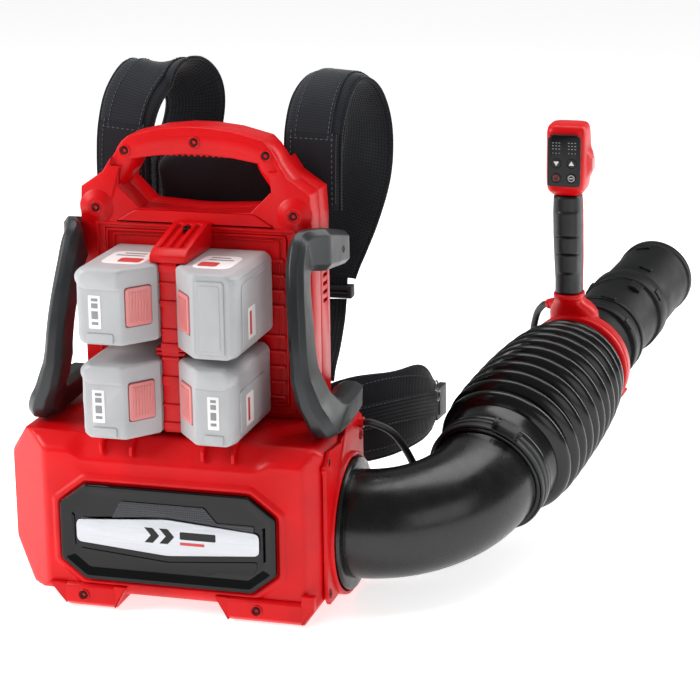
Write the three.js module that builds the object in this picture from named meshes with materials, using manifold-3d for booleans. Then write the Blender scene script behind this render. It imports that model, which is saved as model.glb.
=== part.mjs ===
// Backpack leaf blower. Units are mm, +Z is up, -Y is the side with the batteries and the badge,
// +Y is the side the wearer's back rests on, and the air leaves at +X and turns towards +Y.
import * as THREE from "three";
import { mergeVertices } from "three/addons/utils/BufferGeometryUtils.js";
import Module from "manifold-3d";

// ---------------------------------------------------------------- driving dimensions
const GAP = 0.3; // clearance between neighbouring pieces
const WALL = 4; // moulded wall of the lower housing

const HOUSING = { x0: -184, x1: 157, front: -103, back: 66, bottom: 14, top: 183, split: -20 };
const FAN_Z = 77; // height of the fan axis, which runs along X at y = 0
const OUTLET_R = 58.6;
const FLANGE_BORE = 56;
const INTAKE_R = 42;
const INTAKE_Y = 5;
const FRAME = { half: 124, front: 4, split: 34, back: 66, foot: 183.4 };
const WINDOW = { half: 98, z0: 196, z1: 376 }; // opening of the frame that the battery deck fills
const SPINE = { half: 9, front: -79, rail: 4.6, top: 361.5 };
const PACK = { inner: 10, front: -118, back: 0, bevelX: 38, bevelY: -84 };
const PACKS = {
  left_top: { side: -1, z0: 284, z1: 361, outer: 88 },
  left_low: { side: -1, z0: 187, z1: 264, outer: 86 },
  right_top: { side: 1, z0: 276, z1: 361, outer: 84 },
  right_low: { side: 1, z0: 187, z1: 266, outer: 80 },
};
const BUTTON = { w: 29.2, d: 8, h: 39.2, pocket: 20 }; // release button on the pack's bevelled face
const GUARD_T = 19; // thickness of a guard bar along X
const GUARD_FOOT_T = 30; // its thickness at the foot
const SWIVEL = 16.8; // degrees the elbow is turned up about the outlet axis
const ELBOW = { x0: 161.6, straight: 8.4, bend: 116, angle: 77.6, r: 56.5, bore: 53, flange: 69 };
const CUFF = { elbowEnd: 34, elbowR: 58.5, start: 3, end: 42, r: 63, bore: 59 };
const BELLOWS = { ribs: 11, first: 48, last: 258, end: 266, tipBore: 47.5, tipR: 54 };
const RIB_R = [75, 77.5, 78, 78, 77.5, 77, 76, 74.5, 72.5, 69.5, 65];
const TUBE_DIR = new THREE.Vector3(0.152, 0.981, 0.117).normalize();
const TUBE = { r: 47, bore: 43.6 };
const TUBE_1 = { a: 248, b: 362 };
const TUBE_2 = { a: 348, b: 468 };
const NOZZLE = { a: 452, b: 581, mouth: 42 };
const COLLAR = { a: 266.4, b: 290, r: 62 };
const GRIP = { x: 325, y: 350, lean: -0.025, z0: 247, z1: 360 };
const HEAD = { x0: 300, x1: 345, front: 322, back: 377, z0: 360.5, z1: 442 };
const STRAP_THICK = 12;
const WING_THICK = 11;
const CABLE_R = 4;
const GLAND_R = 6; // boss the control cable comes out of
const CABLE_EXIT = { y: 58, z: 167.5, length: 4.5 }; // where the cable leaves the rear shell
const CLIP = { from: 8, to: 16, reach: 76, width: 13 }; // cable clip on the hose clamp

// ---------------------------------------------------------------- materials
const PAINT = {
  red_plastic: { color: 0xd8121f, roughness: 0.38 },
  black_gloss: { color: 0x101113, roughness: 0.18 },
  charcoal_plastic: { color: 0x3a3d42, roughness: 0.55 },
  dark_plastic: { color: 0x232527, roughness: 0.6 },
  silver_plate: { color: 0xc9ccd0, roughness: 0.3, metalness: 0.8 },
  battery_case: { color: 0xb4b5b7, roughness: 0.45 },
  battery_button: { color: 0xdf8f8f, roughness: 0.5 },
  pad_fabric: { color: 0x2c2e33, roughness: 0.95 },
  webbing: { color: 0x1b1c1f, roughness: 0.9 },
  hose_rubber: { color: 0x0e0f10, roughness: 0.3 },
  grip_rubber: { color: 0x1d1e20, roughness: 0.7 },
  cable_rubber: { color: 0x26282b, roughness: 0.55 },
  steel: { color: 0xb9bcc0, roughness: 0.3, metalness: 1 },
  motor_metal: { color: 0x8b8e93, roughness: 0.4, metalness: 1 },
  board: { color: 0x1d6b3c, roughness: 0.6 },
  key_red: { color: 0xc01620, roughness: 0.4 },
  key_grey: { color: 0x8e9195, roughness: 0.5 },
};
const materials = {};
for (const [name, look] of Object.entries(PAINT)) {
  materials[name] = new THREE.MeshStandardMaterial(look);
  materials[name].name = name;
}

// ---------------------------------------------------------------- helpers
const wasm = await Module();
wasm.setup();
const V = (x, y, z) => new THREE.Vector3(x, y, z);
const model = new THREE.Group();

function signedVolume(geometry) {
  const p = geometry.attributes.position;
  const index = geometry.index.array;
  let sum = 0;
  for (let i = 0; i < index.length; i += 3) {
    const a = V().fromBufferAttribute(p, index[i]);
    const b = V().fromBufferAttribute(p, index[i + 1]);
    const c = V().fromBufferAttribute(p, index[i + 2]);
    sum += a.dot(b.cross(c));
  }
  return sum;
}

// Any closed geometry as a solid for cutting and joining.
function solid(geometry) {
  const g = geometry.clone();
  g.deleteAttribute("normal");
  g.deleteAttribute("uv");
  const merged = mergeVertices(g, 1e-3);
  const tris = new Uint32Array(merged.index.array);
  if (signedVolume(merged) < 0) tris.reverse();
  const mesh = new wasm.Mesh({
    numProp: 3,
    vertProperties: merged.attributes.position.array,
    triVerts: tris,
  });
  return new wasm.Manifold(mesh);
}

function add(name, paint, body) {
  const m = body.getMesh();
  const positions = new Float32Array(m.numVert * 3);
  for (let i = 0; i < m.numVert; i++) {
    positions.set(m.vertProperties.subarray(i * m.numProp, i * m.numProp + 3), i * 3);
  }
  const g = new THREE.BufferGeometry();
  g.setAttribute("position", new THREE.BufferAttribute(positions, 3));
  g.setIndex(new THREE.BufferAttribute(m.triVerts, 1));
  const mesh = new THREE.Mesh(g, materials[paint]);
  mesh.name = name;
  model.add(mesh);
}

function box(x0, x1, y0, y1, z0, z1) {
  const g = new THREE.BoxGeometry(x1 - x0, y1 - y0, z1 - z0);
  g.translate((x0 + x1) / 2, (y0 + y1) / 2, (z0 + z1) / 2);
  return solid(g);
}

// A polygon pulled along one axis: "z" takes (x, y) points, "y" takes (x, z), "x" takes (y, z).
function prism(points, axis, from, to) {
  const shape = new THREE.Shape(points.map(([u, v]) => new THREE.Vector2(u, v)));
  const g = new THREE.ExtrudeGeometry(shape, { depth: to - from, bevelEnabled: false });
  const turn = new THREE.Matrix4();
  if (axis === "z") turn.makeTranslation(0, 0, from);
  if (axis === "y") turn.set(1, 0, 0, 0, 0, 0, -1, to, 0, 1, 0, 0, 0, 0, 0, 1);
  if (axis === "x") turn.set(0, 0, 1, from, 1, 0, 0, 0, 0, 1, 0, 0, 0, 0, 0, 1);
  g.applyMatrix4(turn);
  return solid(g);
}

// Rings of points joined in order, closed at both ends by a fan, or joined end to start.
function loft(rings, closed = false) {
  const m = rings[0].length;
  const points = rings.flat();
  const index = [];
  const spans = closed ? rings.length : rings.length - 1;
  for (let i = 0; i < spans; i++) {
    const a = i * m;
    const b = ((i + 1) % rings.length) * m;
    for (let k = 0; k < m; k++) {
      const n = (k + 1) % m;
      index.push(a + k, a + n, b + n, a + k, b + n, b + k);
    }
  }
  if (!closed) {
    const last = (rings.length - 1) * m;
    const start = points.length;
    points.push(middle(rings[0]), middle(rings[rings.length - 1]));
    for (let k = 0; k < m; k++) {
      const n = (k + 1) % m;
      index.push(start, n, k, start + 1, last + k, last + n);
    }
  }
  const g = new THREE.BufferGeometry().setFromPoints(points);
  g.setIndex(index);
  return solid(g);
}

function middle(ring) {
  const sum = V(0, 0, 0);
  ring.forEach((p) => sum.add(p));
  return sum.divideScalar(ring.length);
}

// A circle about a centre, in the plane square to a direction.
function circle(centre, dir, r, count) {
  const side = V().crossVectors(dir, V(0, 0, 1)).normalize();
  const up = V().crossVectors(side, dir).normalize();
  const ring = [];
  for (let k = 0; k < count; k++) {
    const a = (2 * Math.PI * k) / count;
    const p = centre.clone();
    p.addScaledVector(side, r * Math.cos(a));
    p.addScaledVector(up, r * Math.sin(a));
    ring.push(p);
  }
  return ring;
}

const AXIS_X = V(1, 0, 0);

// A closed or end-capped profile of [x, radius] pairs turned about the fan axis.
function turned(profile, closed, count = 32, y = 0, z = FAN_Z) {
  return loft(profile.map(([x, r]) => circle(V(x, y, z), AXIS_X, r, count)), closed);
}

// A band of rounded-rectangle section: each station has a centre, a width direction and its sizes.
function band(stations, corner = 3) {
  const rings = stations.map((s, i) => {
    const next = stations[Math.min(i + 1, stations.length - 1)].p;
    const prev = stations[Math.max(i - 1, 0)].p;
    const along = V().subVectors(next, prev).normalize();
    const wide = s.wide.clone().addScaledVector(along, -s.wide.dot(along)).normalize();
    const thick = V().crossVectors(along, wide).normalize();
    const w = s.width / 2;
    const t = s.thick / 2;
    const c = Math.min(corner, t * 0.8);
    const outline = [
      [w, t - c], [w - c, t], [-w + c, t], [-w, t - c],
      [-w, -t + c], [-w + c, -t], [w - c, -t], [w, -t + c],
    ];
    return outline.map(([u, v]) => s.p.clone().addScaledVector(wide, u).addScaledVector(thick, v));
  });
  return loft(rings);
}

function cord(points, r, count = 4, steps = 18) {
  const curve = new THREE.CatmullRomCurve3(points, false, "centripetal");
  const shape = new THREE.Shape();
  shape.absarc(0, 0, r, 0, 2 * Math.PI, false);
  const g = new THREE.ExtrudeGeometry(shape, {
    steps,
    curveSegments: count,
    bevelEnabled: false,
    extrudePath: curve,
  });
  return solid(g);
}

const mirrored = (points) => [...points, ...points.map(([x, z]) => [-x, z]).reverse()];
const union = (list) => list.reduce((a, b) => a.add(b));

// ---------------------------------------------------------------- lower housing
const H = HOUSING;
const housingFront = [
  [-150, H.bottom], [150, H.bottom], [H.x1, 22], [H.x1, 174], [148, H.top], [-160, H.top], [H.x0, 152],
  [H.x0, 52], [-158, H.bottom],
];
const housingPlan = [
  [-132, H.front], [148, H.front], [H.x1, -84], [H.x1, H.back], [H.x0, H.back], [H.x0, -61],
];
const housingSide = [
  [-95, H.bottom], [H.back, H.bottom], [H.back, H.top], [-86, H.top], [H.front, 168], [H.front, 23],
];
const housingBody = prism(housingFront, "y", H.front - 1, H.back)
  .intersect(prism(housingPlan, "z", 0, 200))
  .intersect(prism(housingSide, "x", H.x0 - 6, H.x1 + 3));
const mid = [(H.x0 + H.x1) / 2, (H.front + H.back) / 2, (H.bottom + H.top) / 2];
const inset = [H.x1 - H.x0, H.back - H.front, H.top - H.bottom].map((s) => (s - 2 * WALL) / s);
const housingRoom = housingBody
  .translate([-mid[0], -mid[1], -mid[2]])
  .scale(inset)
  .translate(mid);
const outletHole = turned([[120, OUTLET_R], [180, OUTLET_R]], false, 40);
const intakeHole = turned([[-200, INTAKE_R], [-160, INTAKE_R]], false, 32, INTAKE_Y);
const housingShell = housingBody.subtract(housingRoom).subtract(outletHole).subtract(intakeHole);
const frontHalf = box(-300, 300, -300, H.split - GAP / 2, -10, 300);
const rearHalf = box(-300, 300, H.split + GAP / 2, 300, -10, 300);
// Small gussets stand on the sloping ledge under the batteries.
const gussets = [-70, -38, 38, 70].map((x) =>
  prism([[-102, 166], [-84, 182], [-84, 186.4], [-88, 186.4], [-102, 176]], "x", x - 1.6, x + 1.6),
);
add("lower_front_shell", "red_plastic", union([housingShell.intersect(frontHalf), ...gussets]));
const boss = turned(
  [[H.x1 - 2, GLAND_R], [H.x1 + CABLE_EXIT.length, GLAND_R]], false, 16, CABLE_EXIT.y, CABLE_EXIT.z,
);
add("lower_rear_shell", "red_plastic", housingShell.intersect(rearHalf).add(boss));

const OCTAGON = mirrored([[-87, 135], [-115, 113.6], [-115, 53], [-89, 32.5]]);
const OCTAGON_IN = mirrored([[-83, 126], [-106, 109], [-106, 57], [-85, 41]]);
const BADGE = { rim: -109.5, floor: -106, plate: -108.6 }; // Y of each front face
const badgeRim = prism(OCTAGON, "y", BADGE.rim, H.front - GAP);
add("badge_panel", "black_gloss", badgeRim.subtract(prism(OCTAGON_IN, "y", BADGE.rim - 2, BADGE.floor)));
const PLATE = [
  [-98, 97], [-52, 99], [-42, 108], [42, 108], [52, 99], [98, 97], [98, 72], [52, 70], [42, 61],
  [-42, 61], [-52, 70], [-98, 72],
];
add("badge_plate", "silver_plate", prism(PLATE, "y", BADGE.plate, BADGE.floor - GAP));

const FOOT = { left: -113, leftWidth: 54, right: 62, rightWidth: 80 };
const FOOT_SIDE = [
  [-108, 6], [-100, 0], [46, 0], [52, 6], [52, H.bottom - GAP], [H.front - GAP, H.bottom - GAP],
  [H.front - GAP, 27], [-108, 24],
];
add("foot_left", "red_plastic", prism(FOOT_SIDE, "x", FOOT.left, FOOT.left + FOOT.leftWidth));
const rightFoot = prism(FOOT_SIDE, "x", FOOT.right, FOOT.right + FOOT.rightWidth);
add("foot_right", "red_plastic", rightFoot);

const GRILLE = { r: INTAKE_R - GAP, slotR: 36, slot: 6, back: H.x0 + 3.5 };
const grilleDisc = turned([[H.x0, GRILLE.r], [GRILLE.back, GRILLE.r]], false, 32, INTAKE_Y);
const slots = [-30, -20, -10, 0, 10, 20, 30].map((dz) => {
  const half = Math.sqrt(GRILLE.slotR ** 2 - dz * dz);
  const z = FAN_Z + dz;
  return box(-190, -170, INTAKE_Y - half, INTAKE_Y + half, z - GRILLE.slot / 2, z + GRILLE.slot / 2);
});
const grilleBars = [-14, 14].map((dy) =>
  box(H.x0, H.x0 + 3, INTAKE_Y + dy - 1.5, INTAKE_Y + dy + 1.5, 46, 108),
);
add("intake_grille", "dark_plastic", union([grilleDisc.subtract(union(slots)), ...grilleBars]));

const FLANGE = [
  [-84, 25], [-75, 15], [46, 15], [56, 25], [56, 160], [24, 171], [8, 183], [-6, 183], [-28, 172],
  [-70, 176], [-84, 164],
];
const flangeBore = turned([[120, FLANGE_BORE], [180, FLANGE_BORE]], false, 40);
const flangePlate = prism(FLANGE, "x", H.x1 + GAP, ELBOW.x0 - GAP);
add("outlet_flange", "red_plastic", flangePlate.subtract(flangeBore));

// ---------------------------------------------------------------- upper frame with the carry handle
const F = FRAME;
const OUTLINE = mirrored([
  [124, F.foot], [124, 392], [122.5, 418], [99, 434], [80, 463], [72, 471], [40, 479], [12, 482],
]);
const HAND_GAP = mirrored([[12, 395], [60, 398], [82, 420], [80, 438], [70, 447], [40, 452], [12, 454]]);
const handGap = prism(HAND_GAP, "y", -10, 100);
const windowCut = box(-WINDOW.half, WINDOW.half, -10, 100, WINDOW.z0, WINDOW.z1);
const HANDLE_ZONE = mirrored([[90, 440], [84, 500], [10, 520]]); // the carry handle is thinner than the frame
const handleThin = prism(HANDLE_ZONE, "y", -10, F.front + 5).add(prism(HANDLE_ZONE, "y", 50, 100));
const frameFront = prism(OUTLINE, "y", F.front, F.split).subtract(handGap).subtract(windowCut);
add("upper_frame", "red_plastic", frameFront.subtract(handleThin));
const frameRoom = box(-116, 116, F.split - 1, F.back - WALL, F.foot + 6, 384);
const VENT_ROWS = [300, 309, 318, 327];
const vents = VENT_ROWS.flatMap((z) => [
  box(110, 130, 42, 58, z - 2, z + 2), box(-130, -110, 42, 58, z - 2, z + 2),
]);
const frameRear = prism(OUTLINE, "y", F.split + GAP, F.back).subtract(handGap).subtract(frameRoom);
add("upper_rear_shell", "red_plastic", frameRear.subtract(handleThin).subtract(union(vents)));

const deckHalf = WINDOW.half - GAP;
const deckPlate = box(-deckHalf, deckHalf, 6, 14, WINDOW.z0 + GAP, WINDOW.z1 - GAP);
const DECK_RIBS = [206, 222, 238, 254, 270.5, 302, 318, 334, 350];
const deckRibs = DECK_RIBS.map((z) => box(-94, 94, 3, 7, z - 1.5, z + 1.5));
const spineSeat = box(-SPINE.half - 2, SPINE.half + 2, 0, 6, 180, 380);
add("battery_deck", "red_plastic", union([deckPlate, ...deckRibs.map((r) => r.subtract(spineSeat))]));

const packMid = (p) => (p.z0 + p.z1) / 2;
const RAIL = { front: -70, back: -2, half: 24 };
const rails = Object.values(PACKS).map((p) => {
  const x = SPINE.half - 0.5;
  const far = PACK.inner + SPINE.rail - GAP;
  const [a, b] = p.side < 0 ? [-far, -x] : [x, far];
  return box(a, b, RAIL.front, RAIL.back, packMid(p) - RAIL.half, packMid(p) + RAIL.half);
});
const column = box(-SPINE.half, SPINE.half, SPINE.front, 3.7, 186.7, SPINE.top + 2)
  .add(box(-SPINE.half, SPINE.half, 2, 5.7, 200, 370));
const headBlock = prism(
  [[-80, 361.8], [3.7, 361.8], [3.7, 386], [-6, 388], [-72, 374], [-80, 369]], "x", -19, 19,
);
const headSlots = [-10, 0, 10].map((x) =>
  prism([[-66, 371], [-10, 383], [-10, 395], [-66, 395]], "x", x - 2.6, x + 2.6),
);
add("battery_spine", "red_plastic", union([column, ...rails, headBlock]).subtract(union(headSlots)));

// ---------------------------------------------------------------- batteries and their release buttons
for (const [name, p] of Object.entries(PACKS)) {
  const s = p.side;
  const plan = [
    [s * PACK.inner, PACK.back], [s * p.outer, PACK.back], [s * p.outer, PACK.front + 9],
    [s * (p.outer - 8), PACK.front], [s * PACK.bevelX, PACK.front], [s * PACK.inner, PACK.bevelY],
  ];
  const edge = [
    [s * PACK.inner, p.z0], [s * (p.outer - 6), p.z0], [s * p.outer, p.z0 + 6],
    [s * p.outer, p.z1 - 6], [s * (p.outer - 6), p.z1], [s * PACK.inner, p.z1],
  ];
  const railSide = s < 0 ? [-PACK.inner - SPINE.rail, 0] : [0, PACK.inner + SPINE.rail];
  const half = RAIL.half + 0.5;
  const channel = box(...railSide, RAIL.front - 1, 5, packMid(p) - half, packMid(p) + half);
  const faceMid = V((s * (PACK.inner + PACK.bevelX)) / 2, (PACK.front + PACK.bevelY) / 2, packMid(p));
  const turn = Math.atan2(PACK.bevelY - PACK.front, s * (PACK.inner - PACK.bevelX));
  const place = (w, d, h, out) => {
    const g = new THREE.BoxGeometry(w, d, h);
    g.translate(0, (s < 0 ? -1 : 1) * out, 0);
    g.rotateZ(turn);
    g.translate(faceMid.x, faceMid.y, faceMid.z);
    return solid(g);
  };
  const pocket = place(BUTTON.w + 0.8, BUTTON.pocket, BUTTON.h + 0.8, 0);
  const pack = prism(plan, "z", p.z0, p.z1).intersect(prism(edge, "y", -130, 10));
  add("battery_" + name, "battery_case", pack.subtract(channel).subtract(pocket));
  add("release_button_" + name, "battery_button", place(BUTTON.w, BUTTON.d, BUTTON.h, -1));
}

// ---------------------------------------------------------------- side guards
// Stations along the bar: outer (y, z), then inner (y, z). The X centre follows the height.
const GUARD = [
  [[78, 368], [78, 333]], [[30, 380], [30, 338]], [[4, 386], [4, 342]], [[-22, 390], [-8, 344]],
  [[-38, 380], [-14, 341]], [[-50, 362], [-18, 336]], [[-64, 325], [-26, 313]], [[-74, 285], [-31, 285]],
  [[-78, 245], [-32, 245]], [[-77, 215], [-28, 224]], [[-70, 195], [-20, 217]], [[-58, 184.5], [-14, 214]],
  [[-30, 184.5], [0, 214]], [[10, 186], [16, 214]], [[46, 190], [46, 216]],
];
const GUARD_HEIGHTS = [184, 200, 215, 225, 250, 300, 345, 400];
const GUARD_CENTRES = [155, 152, 146, 140, 132, 127, 121, 118];
function guardCentre(y, z) {
  let x = GUARD_CENTRES[0];
  for (let i = 1; i < GUARD_HEIGHTS.length; i++) {
    const from = GUARD_HEIGHTS[i - 1];
    const t = THREE.MathUtils.clamp((z - from) / (GUARD_HEIGHTS[i] - from), 0, 1);
    if (z > from) x = THREE.MathUtils.lerp(GUARD_CENTRES[i - 1], GUARD_CENTRES[i], t);
  }
  const clear = F.half + GAP + GUARD_T / 2 + 0.4;
  const back = THREE.MathUtils.clamp((y + 20) / 24, 0, 1);
  return z > 320 ? THREE.MathUtils.lerp(x, clear, back) : x;
}
function guard(side) {
  const rings = GUARD.map(([outer, inner]) => {
    const low = THREE.MathUtils.clamp((262 - (outer[1] + inner[1]) / 2) / 60, 0, 1);
    const h = THREE.MathUtils.lerp(GUARD_T, GUARD_FOOT_T, low) / 2;
    const at = (t, dx) => {
      const y = THREE.MathUtils.lerp(outer[0], inner[0], t);
      const z = THREE.MathUtils.lerp(outer[1], inner[1], t);
      const x = guardCentre((outer[0] + inner[0]) / 2, (outer[1] + inner[1]) / 2);
      return V(side * (x + dx), y, z);
    };
    const list = [
      [0, h - 5], [0.14, h], [0.86, h], [1, h - 5], [1, 5 - h], [0.86, -h], [0.14, -h], [0, 5 - h],
    ];
    return list.map(([t, dx]) => at(t, dx));
  });
  return loft(rings);
}
add("left_guard", "charcoal_plastic", guard(-1));
add("right_guard", "charcoal_plastic", guard(1));

// ---------------------------------------------------------------- harness
const roundedBox = (x, y0, y1, z0, z1, c) =>
  prism(mirrored([[x - c, z0], [x, z0 + c], [x, z1 - c], [x - c, z1]]), "y", y0, y1);
add("back_plate", "dark_plastic", roundedBox(104, 66.4, 72.4, 100, 392, 12));
// Above the shoulder blades the pad narrows to leave room for the straps.
const BACK_PAD = mirrored([[74, 240], [92, 258], [92, 366], [72, 382], [72, 437], [54, 455]]);
add("back_pad", "pad_fabric", prism(BACK_PAD, "y", 72.8, 94));
add("lumbar_pad", "pad_fabric", roundedBox(88, 72.8, 98, 112, 228, 18));

// The straps stand beside the back pad. The soft left one flops towards +X, so the two paths differ.
const STRAP_PATHS = {
  left: [
    [-104, 80, 388], [-104, 80, 430], [-102, 84, 468], [-96, 98, 500], [-84, 122, 521], [-66, 146, 517],
    [-54, 165, 495], [-58, 172, 460], [-74, 170, 415], [-94, 163, 370], [-106, 154, 330], [-108, 148, 301],
  ],
  right: [
    [104, 80, 388], [104, 80, 430], [104, 84, 468], [108, 98, 500], [116, 122, 519], [126, 146, 515],
    [134, 165, 495], [138, 172, 460], [134, 170, 415], [122, 163, 370], [111, 154, 330], [108, 148, 301],
  ],
};
const STRAP_LEAN = [0, 0, 0, -0.1, -0.3, -0.45, -0.5, -0.4, -0.2, 0, 0, 0]; // of the width direction, along Y
const STRAP_W = [58, 59, 60, 62, 62, 62, 62, 62, 62, 60, 54, 40];
function strap(word, side) {
  return band(STRAP_PATHS[word].map(([x, y, z], i) => ({
    p: V(x, y, z),
    wide: V(side, STRAP_LEAN[i], 0),
    width: STRAP_W[i],
    thick: STRAP_THICK,
  })));
}
function webbing(side) {
  const path = [[108, 143, 277], [109, 132, 258], [111, 106, 234], [112, 84, 218], [112, 76, 205]];
  return band(path.map(([x, y, z]) => ({
    p: V(side * x, y, z), wide: V(1, 0, 0), width: 25, thick: 2.4,
  })), 0.8);
}
function ladderLock(side) {
  const x = side * 108;
  const body = box(x - 19, x + 19, 138, 152, 279, 292.4);
  return body.subtract(box(x - 14, x + 14, 136, 154, 283, 288));
}
const HIP_PATH = [
  [89, 87, 152], [104, 87, 152], [132, 104, 154], [160, 132, 156], [179, 168, 153], [189, 206, 146],
  [192, 240, 138],
];
const HIP_H = [72, 76, 86, 92, 88, 74, 52];
function hipWing(side) {
  return band(HIP_PATH.map(([x, y, z], i) => ({
    p: V(side * x, y, z), wide: V(0, 0, 1), width: HIP_H[i], thick: WING_THICK,
  })));
}
for (const [word, side] of [["left", -1], ["right", 1]]) {
  add("shoulder_strap_" + word, "pad_fabric", strap(word, side));
  add("ladder_lock_" + word, "dark_plastic", ladderLock(side));
  add("lower_webbing_" + word, "webbing", webbing(side));
  add("hip_wing_" + word, "pad_fabric", hipWing(side));
  const c = V(side * 193, 262, 133);
  const lean = side * -0.08;
  const buckle = new THREE.BoxGeometry(8, 34, 36);
  buckle.rotateZ(lean);
  buckle.translate(c.x, c.y, c.z);
  const slot = new THREE.BoxGeometry(20, 5, 26);
  slot.translate(0, -10, 0);
  slot.rotateZ(lean);
  slot.translate(c.x, c.y, c.z);
  add("hip_buckle_" + word, "dark_plastic", solid(buckle).subtract(solid(slot)));
}

// ---------------------------------------------------------------- fan, motor and electronics
const DUCT = { x0: -146, x1: 156.5, r: 58, bore: 54.5 };
const ductSection = [[DUCT.x0, DUCT.r], [DUCT.x1, DUCT.r], [DUCT.x1, DUCT.bore], [DUCT.x0, DUCT.bore]];
add("fan_duct", "dark_plastic", turned(ductSection, true, 32));
function blades(count, r0, r1, xa, xb, sweep, t) {
  const list = [];
  for (let k = 0; k < count; k++) {
    const g = new THREE.BoxGeometry(xb - xa, t, r1 - r0);
    g.translate(0, 0, (r0 + r1) / 2);
    g.rotateZ(sweep);
    g.rotateX((2 * Math.PI * k) / count);
    g.translate((xa + xb) / 2, 0, FAN_Z);
    list.push(solid(g));
  }
  return list;
}
const HUB = 27;
const hubTube = turned([[-55, HUB], [40, HUB], [40, 23], [-55, 23]], true, 24);
const frontWall = turned([[-55, 23.5], [-45, 23.5], [-45, 11.3], [-55, 11.3]], true, 24);
const rearWall = turned([[31, 23.5], [40, 23.5], [40, 11.3], [31, 11.3]], true, 24);
const vanes = blades(7, 26, 54.1, -40, 25, 0.12, 3);
const sleeve = turned([[-60, 54.2], [45, 54.2], [45, 20], [-60, 20]], true, 32);
const stator = union([hubTube, ...vanes]).intersect(sleeve);
add("guide_vanes", "dark_plastic", union([stator, frontWall, rearWall]));
add("motor", "motor_metal", turned([[-44.6, 22.6], [30.6, 22.6], [30.6, 4.4], [-44.6, 4.4]], true, 24));
add("motor_shaft", "steel", turned([[-112, 4], [39, 4]], false, 16));
add("bearing_front", "steel", turned([[-53, 11], [-46, 11], [-46, 4.3], [-53, 4.3]], true, 24));
add("bearing_rear", "steel", turned([[32, 11], [39, 11], [39, 4.3], [32, 4.3]], true, 24));
const HUB_SIDE = [[-120, 12], [-112, 22], [-72, 24], [-72, 4.3], [-110, 4.3], [-120, 4.3]];
const hubNose = turned(HUB_SIDE, true, 24);
const fanBlades = blades(7, 20, 52.5, -110, -78, 0.6, 3.4);
const fanLimit = turned([[-130, 52.6], [-60, 52.6], [-60, 10], [-130, 10]], true, 40);
add("impeller", "dark_plastic", union([hubNose, ...fanBlades.map((b) => b.intersect(fanLimit))]));

const posts = [[-50, 215], [50, 215], [-50, 295], [50, 295]].map(([x, z]) =>
  box(x - 4, x + 4, 43, 61.7, z - 4, z + 4),
);
add("control_board", "board", union([box(-60, 60, 40, 44, 206, 304), ...posts]));

// ---------------------------------------------------------------- elbow, bellows and tubes
const swivel = THREE.MathUtils.degToRad(SWIVEL);
const sideways = V(0, Math.cos(swivel), Math.sin(swivel)); // where the elbow turns to
const outlet = V(ELBOW.x0, 0, FAN_Z);
const bendStart = outlet.clone().addScaledVector(AXIS_X, ELBOW.straight);
function bendPoint(t) {
  return bendStart.clone()
    .addScaledVector(AXIS_X, ELBOW.bend * Math.sin(t))
    .addScaledVector(sideways, ELBOW.bend * (1 - Math.cos(t)));
}
function bendDir(t) {
  return AXIS_X.clone().multiplyScalar(Math.cos(t)).addScaledVector(sideways, Math.sin(t));
}
const bendEnd = THREE.MathUtils.degToRad(ELBOW.angle);
const hoseDir = bendDir(bendEnd);
const hoseStart = bendPoint(bendEnd);

// The run after the elbow: straight, then turning evenly inside the bellows, then straight again.
const TURN_FROM = 44;
const TURN_TO = 256;
function runDir(l) {
  const t = THREE.MathUtils.clamp((l - TURN_FROM) / (TURN_TO - TURN_FROM), 0, 1);
  return hoseDir.clone().lerp(TUBE_DIR, t).normalize();
}
function runPoint(l) {
  const p = hoseStart.clone();
  const step = 2;
  let at = 0;
  while (at + step <= l) {
    p.addScaledVector(runDir(at + step / 2), step);
    at += step;
  }
  return p.addScaledVector(runDir(at), l - at);
}
const along = (pairs, count = 24) => pairs.map(([l, r]) => circle(runPoint(l), runDir(l), r, count));

const ELBOW_STEPS = 9;
function elbowSide(first, last) {
  const rings = [];
  for (let i = 0; i <= ELBOW_STEPS; i++) {
    const t = (bendEnd * i) / ELBOW_STEPS;
    const r = THREE.MathUtils.lerp(first, last, i / ELBOW_STEPS);
    rings.push(circle(bendPoint(t), bendDir(t), r, 24));
  }
  return rings;
}
const x0 = ELBOW.x0;
const flangeRing = (x, r) => circle(V(x, 0, FAN_Z), AXIS_X, r, 24);
add("elbow", "black_gloss", loft([
  flangeRing(x0, ELBOW.flange),
  flangeRing(x0 + 8, ELBOW.flange),
  ...elbowSide(ELBOW.r, ELBOW.r + 1.5),
  ...along([[CUFF.elbowEnd, CUFF.elbowR]]),
  ...along([[CUFF.elbowEnd, CUFF.elbowR - 3.5]]),
  ...elbowSide(ELBOW.bore, ELBOW.bore + 1.5).reverse(),
  flangeRing(x0, ELBOW.bore),
], true));

const clampBand = loft(along([[5, 63.3], [5, 66.4], [19, 66.4], [19, 63.3]], 24), true);
const lugAt = runPoint(12);
const lugSide = V().crossVectors(hoseDir, V(0, 0, 1)).normalize();
const lugUp = V().crossVectors(lugSide, hoseDir).normalize();
const lugDir = lugSide.clone().multiplyScalar(0.45).addScaledVector(lugUp, 0.9).normalize();
const lugAcross = V().crossVectors(hoseDir, lugDir).normalize();
const LUG_AT = 69; // from the hose axis
const lug = new THREE.BoxGeometry(24, 12, 9);
lug.applyMatrix4(new THREE.Matrix4().makeBasis(lugAcross, hoseDir, lugDir));
lug.translate(lugAt.x + lugDir.x * LUG_AT, lugAt.y + lugDir.y * LUG_AT, lugAt.z + lugDir.z * LUG_AT);
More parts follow.
